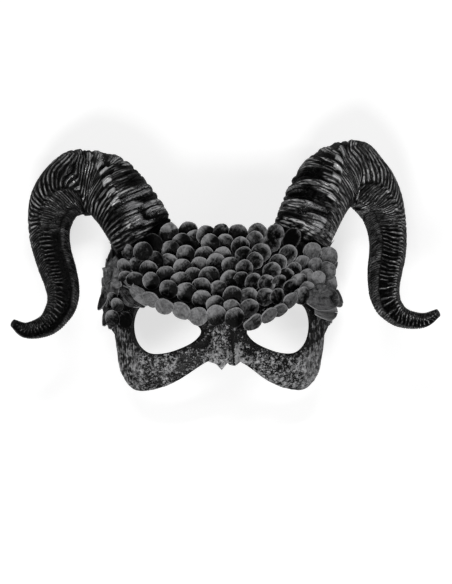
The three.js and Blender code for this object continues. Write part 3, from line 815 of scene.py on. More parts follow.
def lay_scale(blank, sizes, vary, distance, top, width, roll=0.0, turn=0.0, tilt=None, lift=0.0):
    """Corners of one scale standing on the face with its free edge lifted."""
    width = width * sizes.spread
    tall = width * vary("tallness")
    tilt = math.degrees(sizes.tilt) + vary("tilt") if tilt is None else tilt
    roll, turn = roll + vary("roll"), turn + vary("turn")
    dome, bend = vary("dome"), vary("bend")
    crease, crease_way = SCALE_CREASE * vary("crease") ** 2.5, vary("crease_way")
    wave, phase = vary("wave"), vary("phase")
    u, v, level = blank.T
    out, around = np.hypot(u, v), np.arctan2(u, v)
    ragged = 1 + 0.035 * np.sin(2 * around + phase) + 0.02 * np.sin(5 * around + 3 * phase)
    height = level * sizes.thickness / MM + 0.1 * rise(out, 0.8, 0.2) * level
    height = height - dome * out**2 + bend * u * np.abs(u) + wave * out**2 * np.sin(3 * around + phase)
    height = height - crease * np.abs(u * math.cos(crease_way) + v * math.sin(crease_way)) ** 1.3
    points = np.stack([u * ragged * width / 2, v * ragged * tall / 2, height], axis=1)
    points = turn_about(points, 1, -turn)
    points[:, 1] += tall / 2
    points = turn_about(points, 0, tilt)
    points[:, 1] -= tall / 2
    points = turn_about(points, 2, -roll)
    middle = top - tall / 2 * math.cos(math.radians(tilt))
    theta = GIRTH.angle(distance, middle)
    onward, up, outward = face_axes(theta, middle)
    raised = sizes.standoff / MM + lift + abs(math.sin(math.radians(turn))) * width * 0.2
    base = face_point(theta, middle) + outward * raised
    return base + points[:, :1] * onward + points[:, 1:2] * up + points[:, 2:] * outward


def plainness(distance):
    """1 for scales far round the right temple, which get painted light all over, darker towards the bottom.
    """
    return float(rise(distance, 50, 10))


def painted_light_share(blank, distance, vary):
    """Painted light and shade on each corner of a scale: left of the middle a lit free edge over a shaded
    lower part, past it a painted highlight on its right rim, far round the right temple painted light all
    over.
    """
    u, v = blank[:, 0], blank[:, 1]
    out = np.hypot(u, v)
    way, hollow = vary("brush_way"), vary("hollow") ** 2
    # Painted light, lighter towards the free edge, and painted shade towards the lower part; some get a
    # painted shade in the middle.
    edge = 1.08 * rise(v * math.cos(way) + u * math.sin(way) + vary("brush_reach"), -0.3, 1.2) - 0.13
    edge = edge * (1 - 0.75 * hollow * (1 - rise(out, 0.45, 0.5)))
    # A painted highlight on the right rim.
    right_rim_highlight = rise(out, 0.7, 0.3) * rise(u, -0.4, 1)
    past, plain = float(rise(distance, 4, 14) * fall(distance, 52, 8)), plainness(distance)
    # Left of the middle the lit edge and shade, past it the painted highlight on the right rim, and far round
    # the right temple painted light all over, darker towards the bottom.
    left_half_light = edge * (1 - 0.7 * past) * (1 - plain)
    return left_half_light + (right_rim_highlight + 0.1) * past + (0.54 + 0.36 * rise(v, -0.45, 1)) * plain


def lay_scales(name, places, sizes, seed):
    """Scales fused into one mesh, each with a tone of its own."""
    blank, faces = scale_blank(sizes.sides)
    draw = np.random.default_rng(seed)
    vary = lambda key: draw.uniform(*VARIES[key])
    out = np.hypot(blank[:, 0], blank[:, 1])
    corners, polygons = [], []
    looks = {"tone": [], "rim": [], "brushed": [], "calm": []}
    for place in places:
        start = len(corners) * len(blank)
        polygons += [tuple(start + n for n in face) for face in faces]
        corners.append(lay_scale(blank, sizes, vary, *place[:7]))
        tone, even = (*place[7:], 0, 0)[:2]
        plain = plainness(place[0])
        quiet = max(0.15 * plain, float(tone < DARK_TONE))
        looks["tone"].append(np.full(len(blank), vary("tone") + tone))
        looks["rim"].append(out * (1 - 0.05 * quiet))
        looks["calm"].append(np.full(len(blank), max(SIDE_CALM * plain, EVEN_CALM * even)))
        # Scales painted evenly get one even painted light in place of a lit edge and shade.
        looks["brushed"].append(painted_light_share(blank, place[0], vary) * (1 - even) + EVEN_PAINTED_LIGHT * even)
    made = mesh_object(name, kept_above(np.concatenate(corners), SCALE_GAP), polygons)
    store(made, **{key: np.concatenate(values) for key, values in looks.items()})
    unfold(made, blank, len(places), draw)
    pick(made)
    bpy.ops.object.shade_smooth_by_angle(angle=math.radians(SHARP_ANGLE))
    return made


def unfold(made, blank, count, draw):
    """Lays every scale out in its own square of the UV map, each turned its own way."""
    turns = draw.uniform(-UV_TURN, UV_TURN, (count, 1))
    across, up = blank[:, :2].T * UV_RADIUS
    cos, sin = np.cos(turns), np.sin(turns)
    flat = np.stack([across * cos - up * sin, across * sin + up * cos], -1) + 0.5
    flat[:, :, 0] += np.arange(count)[:, None]
    lay_out(made, made.data.uv_layers.new(name="laid"), flat)


def side_scales():
    """Rows that run on round the temples, where the photo shows only their edges."""
    places = []
    for row, step, side in itertools.product(range(SIDE_ROWS), range(3), (-1, 1)):
        top = SIDE_TOP - SIDE_DROP * row
        distance = SIDE_FROM[side] + SIDE_SHIFT * (row % 2) + SIDE_SPACING * step
        rim = np.interp(top, GIRTH.heights, RIM_REACH[side] * side)
        under_leaf = side > 0 and top < LEAF_TOP and distance < LEAF_END
        if distance + SIDE_WIDTH / 2 < rim and not under_leaf:
            tilt, lift = (2, -0.4) if side < 0 and top > 0 else (9, 0)
            places.append((side * distance, top, SIDE_WIDTH, 0, 0, tilt, lift))
    return places


# Petals and thorns of thin leather

# Each petal: where its root is (distance round the face, height), the way it points from straight up towards
# the rim, its length and width, how far its root and tip stand off, its cup, its pleats and how pale it is.
LEFT_PETALS = [
    ((-87, 1), 165, 16, 12, 1.6, 2.2, 0.6, 4, -1), ((-90, -8), 172, 22, 13, 1.8, 2.4, 0.6, 5, -1),
    ((-81, 3), 152, 18, 11, 2.2, 3.0, 0.8, 4, -0.5), ((-76, 4), 143, 21, 11, 2.6, 3.2, 0.8, 5, 0),
    ((-81, -2), 162, 23, 11, 2.8, 3.4, 0.8, 4, -0.5), ((-74.5, -2.5), 167, 26, 9, 3.0, 3.4, 0.9, 4, 0.5),
    ((-69, -2), 204, 14, 9.5, 2.8, 3.0, 0.8, 3, 0), ((-64.5, -5), 250, 11, 8, 1.6, 1.4, 0.5, 2, -1.5),
    ((-73, -15.5), 236, 21, 14, 2.6, 1.6, 1.0, 6, -3), ((-71, -16), 234, 21, 7, 3.2, 2.2, 0.8, 3, -3),
    ((-63.5, -15), 226, 17, 9, 3.4, 2.4, 1.2, 2, 2), ((-80, -11), 250, 10, 6, 4.0, 4.4, 0.6, 2, 1.5),
    ((-88, -19), 148, 13, 12, 3.0, 6.0, 1.6, 3, -3), ((-84, -29), 154, 14, 11, 2.4, 3.4, 1.4, 4, -2),
    ((-80, -33), 165, 11, 9, 2.2, 2.4, 1.2, 3, -1),
]
RIGHT_PETALS = [
    ((76, -6.5), 62, 19, 7, 3.0, 4.2, 0.8, 2, 1.5), ((72, -8), 108, 18, 13, 3.0, 3.6, 1.6, 4, 1),
    ((86, -6), 150, 14, 8, 2.0, 2.6, 0.8, 3, 0), ((86, 2), 160, 14, 10, 1.6, 2.0, 0.8, 3, 0),
    ((58, -21.5), 96, 25, 18, 2.2, 4.6, 5.0, 2, 0), ((66, -30), 97, 24, 14, 2.0, 3.2, 1.8, 3, 3.5),
    ((87, -20), 120, 13, 13, 2.6, 7.5, 1.4, 2, -1),
]
PETAL_WALL, PETAL_GAP = 0.8, 0.9
PETAL_GRID, THORN_GRID = (21, 31), (12, 11)  # corners along and across

# Each thorn: its root, the way it points, its length and thickness at the root.
THORNS = [
    ((-77.5, 10.5), -55, 9, 1.6), ((-75, 8), -48, 8, 1.4), ((81, 12), 50, 9, 1.3), ((86, 4.5), 45, 8, 1.5),
]
THORN_LIFT, THORN_BEND, THORN_TAPER = 2.2, 1.6, 0.92


def build_petal(name, root, heading, length, width, root_lift, tip_lift, cup, pleats, tone, seed):
    """A narrow-rooted, round-tipped leaf of leather that follows the face under it."""
    draw = np.random.default_rng(seed)
    t, s = np.meshgrid(np.linspace(0, 1, PETAL_GRID[0]), np.linspace(-1, 1, PETAL_GRID[1]), indexing="ij")
    half = width / 2 * (0.5 + 0.5 * np.sin(math.pi * 0.9 * t)) * (1 - t**4) ** 0.5 * 0.98 + 0.15
    ragged = 1 + 0.05 * np.sin(9 * t + draw.uniform(0, 6))
    turn = math.radians(heading)
    side = 1 if root[0] > 0 else -1
    forward, sideways = t * length, s * half * ragged
    distance = root[0] + side * (forward * math.sin(turn) + sideways * math.cos(turn))
    y = root[1] + forward * math.cos(turn) - sideways * math.sin(turn)
    drift = Noise(seed)(t * 2.2, s * 1.5)
    pleat = folds(s + 0.25 * drift + 0.1 * t, 2 / pleats) * (0.75 - 0.45 * t)
    lift = root_lift + (tip_lift - root_lift) * t**1.4 + cup * s**2 * (0.4 + 0.6 * t)
    lift = lift + 0.32 * pleat + 0.5 * drift
    theta = GIRTH.angle(distance, y)
    outward = face_axes(theta, y)[2]
    points = face_point(theta, y) + outward * np.maximum(lift, PETAL_GAP)[..., None]
    if side < 0:
        points = points[:, ::-1]
    looks = {
        "tone": np.full(t.shape, tone + draw.uniform(-0.5, 0.5)),
        "rim": np.maximum(np.abs(s) ** 3, t**6) * 0.97,
        # Painted light and shade: darker in the valleys of the pleats, lighter towards one side.
        "brushed": np.clip(0.6 + 0.14 * pleat + 0.1 * s, 0, 1),
        "calm": np.full(t.shape, 0.5),
    }
    made = grid_object(name, kept_above(points, PETAL_GAP), looks, np.stack([(s + 1) / 2, t], -1))
    wall = made.modifiers.new("leather", "SOLIDIFY")
    wall.thickness, wall.offset = PETAL_WALL * MM, -1
    bpy.ops.object.modifier_apply(modifier=wall.name)
    made.data.shade_smooth()
    return made


def build_thorn(name, root, heading, length, thickness):
    """A thin bent spike."""
    theta = float(GIRTH.angle(*root))
    onward, up, outward = face_axes(theta, root[1])
    turn = math.radians(heading)
    ahead = math.sin(turn) * onward + math.cos(turn) * up
    aside = np.cross(ahead, outward)
    t, around = np.meshgrid(
        np.linspace(0, 1, THORN_GRID[0]), np.linspace(0, 2 * math.pi, THORN_GRID[1]), indexing="ij",
    )
    radius = thickness / 2 * (1 - THORN_TAPER * t)
    middle = face_point(theta, root[1]) + outward * THORN_LIFT
    points = middle + (t * length)[..., None] * ahead + (THORN_BEND * t**2)[..., None] * outward
    points = points + (radius * np.cos(around))[..., None] * aside
    points = points + (radius * np.sin(around))[..., None] * outward
    plain = np.zeros(t.shape)
    made = grid_object(name, points, {"tone": plain - 1, "rim": plain, "brushed": plain, "calm": plain})
    weld(made, SEAM_GAP, close=True)
    made.data.shade_smooth()
    return made


# Materials


class Graph:
    """Short words for building one node tree."""

    def __init__(self, tree):
        self.tree = tree

    def node(self, kind, inputs=None, **settings):
        made = self.tree.nodes.new(kind)
        for key, value in settings.items():
            setattr(made, key, value)
        for key, value in (inputs or {}).items():
            self.feed(made.inputs[key], value)
        return made

    def feed(self, socket, value):
        if isinstance(value, bpy.types.NodeSocket):
            self.tree.links.new(value, socket)
        else:
            socket.default_value = value

    def math(self, operation, first, second=0.0, clamp=False):
        made = self.node("ShaderNodeMath", {0: first, 1: second}, operation=operation, use_clamp=clamp)
        return made.outputs[0]

    def plus(self, first, second, clamp=False):
        return self.math("ADD", first, second, clamp)

    def minus(self, first, second):
        return self.math("SUBTRACT", first, second)

    def times(self, first, second, clamp=False):
        return self.math("MULTIPLY", first, second, clamp)

    def ramp(self, value, low, high, start=0.0, end=1.0):
        inputs = {0: value, 1: low, 2: high, 3: start, 4: end}
        return self.node("ShaderNodeMapRange", inputs, clamp=True).outputs[0]

    def colour(self, share, first, second):
        """A mix of two colours, each a colour setting or what another node gives."""
        inputs = {0: share}
        for place, value in ((6, first), (7, second)):
            inputs[place] = value if isinstance(value, bpy.types.NodeSocket) else (*value, 1)
        return self.node("ShaderNodeMix", inputs, data_type="RGBA").outputs[2]

    def noise(self, vector, scale, detail=3.0, roughness=0.5, distortion=0.0):
        inputs = {"Vector": vector, "Scale": scale, "Detail": detail, "Roughness": roughness}
        return self.node("ShaderNodeTexNoise", {**inputs, "Distortion": distortion}).outputs[0]

    def attribute(self, name):
        return self.node("ShaderNodeAttribute", attribute_name=name).outputs["Fac"]

    def coordinate(self, kind):
        return self.node("ShaderNodeTexCoord").outputs[kind]

    def stretched(self, vector, scale):
        return self.node("ShaderNodeMapping", {"Vector": vector, "Scale": scale}).outputs[0]

    def effect(self, name, **inputs):
        """What one of the node groups gives, made when it is first needed."""
        tree = bpy.data.node_groups.get(name) or EFFECTS[name](name)
        return self.node("ShaderNodeGroup", inputs, node_tree=tree).outputs[0]

    def surface(self, inputs, height=None, depth=0.0):
        """The material's shader, with a bump that is depth metres deep."""
        if height is not None:
            relief = {"Height": height, "Distance": depth, "Strength": 1.0}
            inputs["Normal"] = self.node("ShaderNodeBump", relief).outputs[0]
        shader = self.node("ShaderNodeBsdfPrincipled", inputs)
        self.node("ShaderNodeOutputMaterial", {"Surface": shader.outputs[0]})


def new_group(name, output, **amounts):
    """An effect as a node group, with a vector and named amounts in and one value out."""
    tree = bpy.data.node_groups.new(name, "ShaderNodeTree")
    tree.interface.new_socket(name="Vector", in_out="INPUT", socket_type="NodeSocketVector")
    for key, value in amounts.items():
        socket = tree.interface.new_socket(name=key, in_out="INPUT", socket_type="NodeSocketFloat")
        socket.default_value = value
    tree.interface.new_socket(name=output, in_out="OUTPUT", socket_type="NodeSocketFloat")
    graph = Graph(tree)
    return graph, graph.node("NodeGroupInput").outputs, graph.node("NodeGroupOutput").inputs[output]


def dry_brush_group(name):
    """Broken strokes of a nearly dry brush: a mask that the given amount opens up."""
    graph, given, mask = new_group(name, "Mask", Amount=0.5, Scale=400.0, Softness=0.12)
    coarse = graph.noise(given["Vector"], given["Scale"], 5.0, 0.68)
    fine = graph.noise(given["Vector"], graph.times(given["Scale"], 3.1), 3.0, 0.6)
    both = graph.plus(graph.times(coarse, 0.65), graph.times(fine, 0.35))
    level = graph.minus(0.82, graph.times(given["Amount"], 0.62))
    soft = given["Softness"]
    graph.feed(mask, graph.ramp(both, graph.minus(level, soft), graph.plus(level, soft)))
    return graph.tree


def wrinkle_group(name):
    """Thin broken lines that part the surface, as a mask that is dark along them."""
    graph, given, mask = new_group(name, "Mask")
    masks = []
    for across, along, width in ((8.0, 42.0, 0.07), (13.0, 85.0, 0.09)):
        drawn = graph.noise(graph.stretched(given["Vector"], (across, along, 1.0)), 1.0, 2.0, 0.5, 0.3)
        masks.append(graph.ramp(graph.math("ABSOLUTE", graph.minus(drawn, 0.5)), 0.0, width))
    graph.feed(mask, graph.times(masks[0], graph.plus(graph.times(masks[1], 0.6), 0.4)))
    return graph.tree


def leather_grain_group(name):
    """Fine pores and creases as a height."""
    graph, given, height = new_group(name, "Height", Scale=900.0)
    inputs = {"Vector": given["Vector"], "Scale": given["Scale"]}
    cells = graph.node("ShaderNodeTexVoronoi", inputs, feature="SMOOTH_F1").outputs["Distance"]
    pores = graph.noise(given["Vector"], graph.times(given["Scale"], 0.45), 4.0)
    graph.feed(height, graph.plus(graph.times(cells, 0.6), graph.times(pores, 0.6)))
    return graph.tree


EFFECTS = {"Dry brush": dry_brush_group, "Wrinkles": wrinkle_group, "Leather grain": leather_grain_group}


def shell_material(graph, settings):
    """Black leather, sponged with silver-grey, with silver-grey strokes streaked down the cheeks."""
    place, silver = graph.coordinate("Object"), graph.attribute("silver")
    sponge = graph.effect("Dry brush", Vector=place, Amount=silver, Scale=880.0, Softness=0.025)
    drawn = graph.stretched(place, (1.0, 0.14, 1.0))
    strokes = graph.effect("Dry brush", Vector=drawn, Amount=silver, Scale=950.0, Softness=0.06)
    mask = graph.node("ShaderNodeMix", {0: graph.attribute("streaked"), 2: sponge, 3: strokes}).outputs[0]
    tone = graph.ramp(graph.noise(place, 380.0, 5.0, 0.7), 0.36, 0.64, 0.25, 1.0)
    grain = graph.effect("Leather grain", Vector=place, Scale=1100.0)
    height = graph.plus(graph.times(grain, 0.6), graph.times(mask, 0.5))
    graph.surface({
        "Base Color": graph.colour(graph.times(mask, tone), settings.finish.leather, settings.finish.silver),
        "Roughness": graph.ramp(mask, 0.0, 1.0, 0.42, 0.62),
        "Specular IOR Level": 0.18,
    }, height, 0.0006)


def horn_material(graph, settings):
    """Gloss black, pale from rubbing on its folds with painted highlights along them, and stippled with
    silver near the root that also stands for a painted reflection.
    """
    finish, place = settings.finish, graph.coordinate("Object")
    silver, pale = graph.attribute("silver"), graph.attribute("pale")
    lines = graph.effect("Wrinkles", Vector=graph.coordinate("UV"))
    specks = graph.effect("Dry brush", Vector=place, Amount=silver, Scale=1000.0, Softness=0.05)
    specks = graph.times(specks, graph.ramp(silver, 0.04, 0.3))
    specks = graph.times(specks, graph.ramp(lines, 0.0, 1.0, 0.3, 1.0))
    mottle = graph.ramp(graph.noise(place, 800.0, 4.0, 0.7), 0.3, 0.7, 0.7, 1.3)
    # Wear from rubbing together with the painted highlights; it also sets the coat.
    wear_and_highlight = graph.times(graph.times(pale, mottle), graph.ramp(lines, 0.0, 1.0, 0.05, 1.0), clamp=True)
    colour = graph.colour(graph.math("POWER", wear_and_highlight, 1.75), finish.horn, finish.horn_crest_wear_and_highlight)
    rough = graph.ramp(graph.noise(place, 220.0, 3.0), 0.3, 0.7, 0.24, 0.38)
    fine = graph.noise(place, 1500.0, 2.0)
    graph.surface({
        "Base Color": graph.colour(specks, colour, finish.horn_silver_and_reflection),
        "Roughness": graph.plus(rough, graph.times(specks, 0.25)),
        "Coat Weight": graph.times(wear_and_highlight, 0.9, clamp=True),
        "Specular IOR Level": 0.08,
        "Coat IOR": 1.6,
        "Coat Roughness": 0.1,
    }, graph.plus(graph.times(lines, 0.8), graph.times(fine, 0.25)), 0.0005)


def scale_material(graph, settings):
    """Satin charcoal leather, clouded, with painted light and shade on each scale, and a light rim from wear
    that carries a painted highlight, shown only where the painted light falls.
    """
    finish, place = settings.finish, graph.coordinate("Object")
    tone, rim, brushed, calm = (graph.attribute(name) for name in ("tone", "rim", "brushed", "calm"))
    clouds = graph.noise(place, 280.0, 6.0, 0.72, 0.5)
    streaks = graph.noise(graph.stretched(graph.coordinate("UV"), (15.0, 2.4, 1.0)), 1.0, 3.0, 0.65, 0.4)
    blots = graph.ramp(graph.noise(place, 120.0, 4.0, 0.6, 0.6), 0.54, 0.64, 0.0, -0.36)
    cloudy = graph.plus(graph.ramp(clouds, 0.37, 0.65, -0.3, 0.3), blots)
    cloudy = graph.times(cloudy, graph.ramp(calm, 0.0, 1.0, 1.0, 0.6))
    shade = graph.plus(cloudy, graph.ramp(streaks, 0.3, 0.7, -0.16, 0.16))
    # The painted light and shade of each scale are added here, over its clouds and tone.
    shade = graph.plus(graph.plus(shade, graph.times(tone, 0.13)), brushed, clamp=True)
    colour = graph.colour(graph.math("POWER", shade, 1.5), finish.scale_dark, finish.scale_light)
    outermost = graph.ramp(rim, 0.92, 1.0)
    rim_wear_and_highlight = graph.effect("Dry brush", Vector=place, Amount=outermost, Scale=520.0, Softness=0.2)
    # The light rim from wear shows only where the painted light falls, so it also stands for a painted
    # highlight.
    rim_wear_and_highlight = graph.times(rim_wear_and_highlight, graph.ramp(brushed, 0.0, 0.5, 0.1, 0.62))
    grain = graph.effect("Leather grain", Vector=place, Scale=1500.0)
    graph.surface({
        "Base Color": graph.colour(rim_wear_and_highlight, colour, finish.scale_rim_wear_and_highlight),
        "Roughness": graph.ramp(clouds, 0.3, 0.7, 0.36, 0.5),
        "Specular IOR Level": 0.06,
    }, graph.plus(graph.times(grain, 0.4), graph.times(clouds, 1.6)), 0.00035)


def floor_material(graph, settings):
    """A pale table that shines a little by itself for the camera."""
    pale = settings.stage.floor_colour
    shade = graph.ramp(graph.noise(graph.coordinate("Object"), 3.0, 2.0), 0.3, 0.7)
    colour = graph.colour(shade, pale, [value * 0.98 for value in pale])
    seen = graph.node("ShaderNodeLightPath").outputs["Is Camera Ray"]
    graph.surface({
        "Base Color": colour,
        "Roughness": 0.9,
        "Specular IOR Level": 0.1,
        "Emission Color": colour,
        "Emission Strength": graph.times(seen, settings.stage.floor_glow),
    })


LOOKS = {
    "sponged_black_leather": shell_material,
    "gloss_black_horn": horn_material,
    "satin_charcoal_scale": scale_material,
    "pale_table": floor_material,
}


def look(name):
    """A material, made when the first piece needs it."""
    made = bpy.data.materials.get(name)
    if made is None:
        made = bpy.data.materials.new(name)
        made.use_nodes = True
        made.node_tree.nodes.clear()
        LOOKS[name](Graph(made.node_tree), bpy.context.scene.mask)
    return made


# The table, the lights and the camera

VIEW_YAW = 6.5  # how far the camera stands to the left of straight above
VIEW_DISTANCE = 1300.0
VIEW_MM_PER_PIXEL = 0.69
VIEW_HEIGHT_PIXELS = 584
VIEW_CLIP = (0.05, 20)  # metres
SENSOR = 36.0
VIEW_TARGET = np.array([3.264, -18.63, 40.0])
FLOOR_DROP = 0.5
SOFTBOXES = [  # name, setting of its power, place, width and height in metres
    ("front_softbox", "key", (-0.3, -0.85, 1.05), 0.5, 0.4),
    ("top_softbox", "top", (-0.2, 0.7, 1.1), 0.6, 0.11),
    ("right_softbox", "side", (1.15, 0.15, 0.75), 0.12, 0.8),
]


def add_floor(size):
    bpy.ops.mesh.primitive_plane_add(size=size, location=(0, 0, -FLOOR_DROP * MM))
    floor = bpy.context.active_object
    floor.name = "pale_table"
    floor.data.transform(floor.matrix_world)
    floor.matrix_world.identity()
    floor.data.materials.append(look("pale_table"))


def add_camera():
    yaw = math.radians(VIEW_YAW)
    back = np.array([-math.sin(yaw), 0, math.cos(yaw)])
    bpy.ops.object.camera_add(location=Vector(metres(VIEW_TARGET + back * VIEW_DISTANCE)))
    camera = bpy.context.active_object
    camera.name = "photo_camera"
    camera.rotation_euler = (0, -yaw, 0)
    camera.data.sensor_width = SENSOR
    camera.data.lens = SENSOR * VIEW_DISTANCE / (VIEW_HEIGHT_PIXELS * VIEW_MM_PER_PIXEL)
    camera.data.clip_start, camera.data.clip_end = VIEW_CLIP
    bpy.context.scene.camera = camera


def add_softbox(name, power, place, width, height):
    bpy.ops.object.light_add(type="AREA", location=place)
    lamp = bpy.context.active_object
    lamp.name = name
    lamp.data.shape = "RECTANGLE"
    lamp.data.size, lamp.data.size_y = width, height
    lamp.data.energy = power
    lamp.rotation_euler = (-Vector(place)).to_track_quat("-Z", "Y").to_euler()


def add_world(strength):
    world = bpy.data.worlds.new("studio_air")
    world.use_nodes = True
    graph, air = Graph(world.node_tree), world.node_tree.nodes["Background"]
    seen = graph.node("ShaderNodeLightPath").outputs["Is Camera Ray"]
    air.inputs["Color"].default_value = (1, 1, 1, 1)
    graph.feed(air.inputs["Strength"], graph.ramp(seen, 0.0, 1.0, strength, 1.0))
    bpy.context.scene.world = world


# Settings


def setting(label, about, value, low=0.0, high=2.0, **kind):
    return bpy.props.FloatProperty(name=label, description=about, default=value, min=low, max=high, **kind)


def length_setting(label, about, value, low=0.0, high=2.0):
    kind = {"subtype": "DISTANCE", "unit": "LENGTH", "precision": 4}
    return setting(label, about, value * MM, low * MM, high * MM, **kind)


def angle_setting(label, about, value, low, high):
    value, low, high = (math.radians(angle) for angle in (value, low, high))
    return setting(label, about, value, low, high, subtype="ANGLE", unit="ROTATION")


def power_setting(label, about, value):
    return setting(label, about, value, 0.0, 400.0, unit="POWER")


def count_setting(label, about, value, low, high):
    return bpy.props.IntProperty(name=label, description=about, default=value, min=low, max=high)


def colour_setting(label, about, value):
    return bpy.props.FloatVectorProperty(
        name=label, description=about, default=value, size=3, min=0.0, max=1.0, subtype="COLOR",
    )


class MASK_PG_shell(bpy.types.PropertyGroup):
    wall: length_setting("Wall", "Thickness of the face shell", 2.6, 1, 5)
    lumps: length_setting("Lumps", "Height of the shell's leathery lumps", 0.42)
    columns: count_setting("Columns", "Faces round the shell", 250, 60, 260)
    rows: count_setting("Rows", "Faces up the shell", 160, 40, 180)


class MASK_PG_horns(bpy.types.PropertyGroup):
    wrinkles: setting("Wrinkles", "Height of the cast wrinkles against the real ones", 1.0)
    rings: count_setting("Rings", "Faces along a horn", 460, 60, 520)
    columns: count_setting("Columns", "Faces round a horn", 190, 24, 200)


class MASK_PG_scales(bpy.types.PropertyGroup):
    thickness: length_setting("Thickness", "Thickness of a scale", 0.9)
    standoff: length_setting("Standoff", "How far a scale's fixed edge stands off the face", 0.5)
    tilt: angle_setting("Tilt", "How far the free edges are lifted", 20, 0, 40)
    spread: setting("Spread", "Width of the scales against the widths in their list", 1.06, 0.7, 1.3)
    sides: count_setting("Sides", "Sides of a scale's outline", 18, 8, 24)


class MASK_PG_finish(bpy.types.PropertyGroup):
    leather: colour_setting("Leather", "Black under the brushed silver", (0.004, 0.004, 0.004))
    silver: colour_setting("Silver", "Silver-grey sponged on the shell", (0.6, 0.6, 0.61))
    horn: colour_setting("Horn", "Gloss black of the horns", (0.001, 0.001, 0.001))
    # The crest colour is wear from rubbing that also carries the painted highlights.
    horn_crest_wear_and_highlight: colour_setting("Horn crests", "Worn black of the horns' crests", (0.62, 0.62, 0.625))
    # The silver near the root also stands for a painted reflection.
    horn_silver_and_reflection: colour_setting("Horn silver", "Silver over the horns near the root", (0.42, 0.42, 0.43))
    # The scales' dark and light colours are the ends of their shade, which holds clouds and the painted light
    # and shade; the rim colour is wear that also carries a painted highlight.
    scale_dark: colour_setting("Scale dark", "Dark clouds of the scales", (0.001, 0.001, 0.001))
    scale_light: colour_setting("Scale light", "Light clouds of the scales", (0.28, 0.28, 0.285))
    scale_rim_wear_and_highlight: colour_setting("Scale rim", "Worn rims of the scales", (0.5, 0.5, 0.51))


class MASK_PG_stage(bpy.types.PropertyGroup):
    floor_size: setting("Table", "Width of the table", 8.0, 1.0, 20.0, subtype="DISTANCE", unit="LENGTH")
    floor_colour: colour_setting("Table colour", "Colour of the table", (0.5, 0.5, 0.5))
    floor_glow: setting("Table glow", "How much the table shines by itself", 1.42)
    air: setting("Air", "Light from all round", 0.06)
    key: power_setting("Key light", "Power of the front softbox", 10.0)
    top: power_setting("Top light", "Power of the softbox above the horns", 5.0)
    side: power_setting("Side light", "Power of the softbox on the right", 2.5)


class MASK_PG_settings(bpy.types.PropertyGroup):
    shell: bpy.props.PointerProperty(type=MASK_PG_shell)
    horns: bpy.props.PointerProperty(type=MASK_PG_horns)
    scales: bpy.props.PointerProperty(type=MASK_PG_scales)
    finish: bpy.props.PointerProperty(type=MASK_PG_finish)
    stage: bpy.props.PointerProperty(type=MASK_PG_stage)


# Operators


class MASK_OT_stage(bpy.types.Operator):
    """Add the pale table, the softboxes and the camera"""

    bl_idname = "mask.stage"
    bl_label = "Stage"

    def execute(self, context):
        stage = context.scene.mask.stage
        add_floor(stage.floor_size)
        add_camera()
        for name, power, place, width, height in SOFTBOXES:
            add_softbox(name, getattr(stage, power), place, width, height)
        add_world(stage.air)
        context.scene.view_settings.view_transform = "Standard"
        deselect()
        return {"FINISHED"}


class MASK_OT_shell(bpy.types.Operator):
    """Add the moulded face shell"""

    bl_idname = "mask.shell"
    bl_label = "Face shell"

    def execute(self, context):
        shell = build_shell(context.scene.mask.shell)
        finish_piece(shell, "sponged_black_leather", ["mask_shell"])
        return {"FINISHED"}


class MASK_OT_horns(bpy.types.Operator):
    """Add both ram horns"""

    bl_idname = "mask.horns"
    bl_label = "Ram horns"

    def execute(self, context):
        for word, side, seed in (("left", -1, 31), ("right", 1, 53)):
            made = build_horn(f"cast_horn_{word}", side, seed, context.scene.mask.horns)
            finish_piece(made, "gloss_black_horn", [f"horn_{word}"])
        return {"FINISHED"}


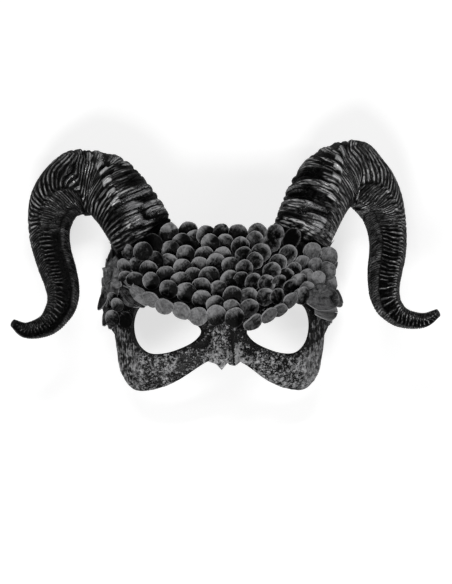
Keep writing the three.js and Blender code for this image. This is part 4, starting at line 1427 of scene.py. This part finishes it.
class MASK_OT_scales(bpy.types.Operator):
    """Add the overlapping scales of the forehead, the brow and the temples' sides"""

    bl_idname = "mask.scales"
    bl_label = "Scales"

    def execute(self, context):
        for name, places, seed, nodes in (
            ("forehead_discs", FOREHEAD_SCALES, 5, nodes_named("scale_row_")),
            ("brow_discs", BROW_SCALES, 6, ["brow_scales"]),
            ("side_discs", side_scales(), 7, []),
        ):
            made = lay_scales(name, places, context.scene.mask.scales, seed)
            finish_piece(made, "satin_charcoal_scale", nodes)
        return {"FINISHED"}


class MASK_OT_petals(bpy.types.Operator):
    """Add the leather petals at the temples and the thorns under the horns"""

    bl_idname = "mask.petals"
    bl_label = "Temple petals"

    def execute(self, context):
        for word, petals in (("left", LEFT_PETALS), ("right", RIGHT_PETALS)):
            parts = [build_petal(f"petal_{n}", *petal, 70 + n) for n, petal in enumerate(petals)]
            made = joined(f"temple_petals_{word}", parts)
            finish_piece(made, "satin_charcoal_scale", nodes_named(f"temple_scales_{word}_"))
        thorns = [build_thorn(f"thorn_{n}", *thorn) for n, thorn in enumerate(THORNS)]
        finish_piece(joined("temple_thorns", thorns), "satin_charcoal_scale", [])
        return {"FINISHED"}


OPERATORS = [MASK_OT_stage, MASK_OT_shell, MASK_OT_horns, MASK_OT_scales, MASK_OT_petals]


class MASK_PT_panel(bpy.types.Panel):
    """Sizes, colours and pieces of the mask"""

    bl_idname = "MASK_PT_panel"
    bl_label = "Horned mask"
    bl_space_type = "VIEW_3D"
    bl_region_type = "UI"
    bl_category = "Mask"

    def draw(self, context):
        settings = context.scene.mask
        for name in ("shell", "horns", "scales", "finish", "stage"):
            group = getattr(settings, name)
            box = self.layout.box()
            box.label(text=name.capitalize())
            for key in type(group).__annotations__:
                box.prop(group, key)
        for operator in OPERATORS:
            self.layout.operator(operator.bl_idname)


CLASSES = [
    MASK_PG_shell, MASK_PG_horns, MASK_PG_scales, MASK_PG_finish, MASK_PG_stage, MASK_PG_settings,
    *OPERATORS, MASK_PT_panel,
]


def register():
    for item in CLASSES:
        bpy.utils.register_class(item)
    bpy.types.Scene.mask = bpy.props.PointerProperty(type=MASK_PG_settings)


def unregister():
    del bpy.types.Scene.mask
    for item in reversed(CLASSES):
        bpy.utils.unregister_class(item)


def main():
    register()
    bpy.ops.mask.stage()
    bpy.ops.mask.shell()
    bpy.ops.mask.horns()
    bpy.ops.mask.scales()
    bpy.ops.mask.petals()


if __name__ == "__main__":
    main()
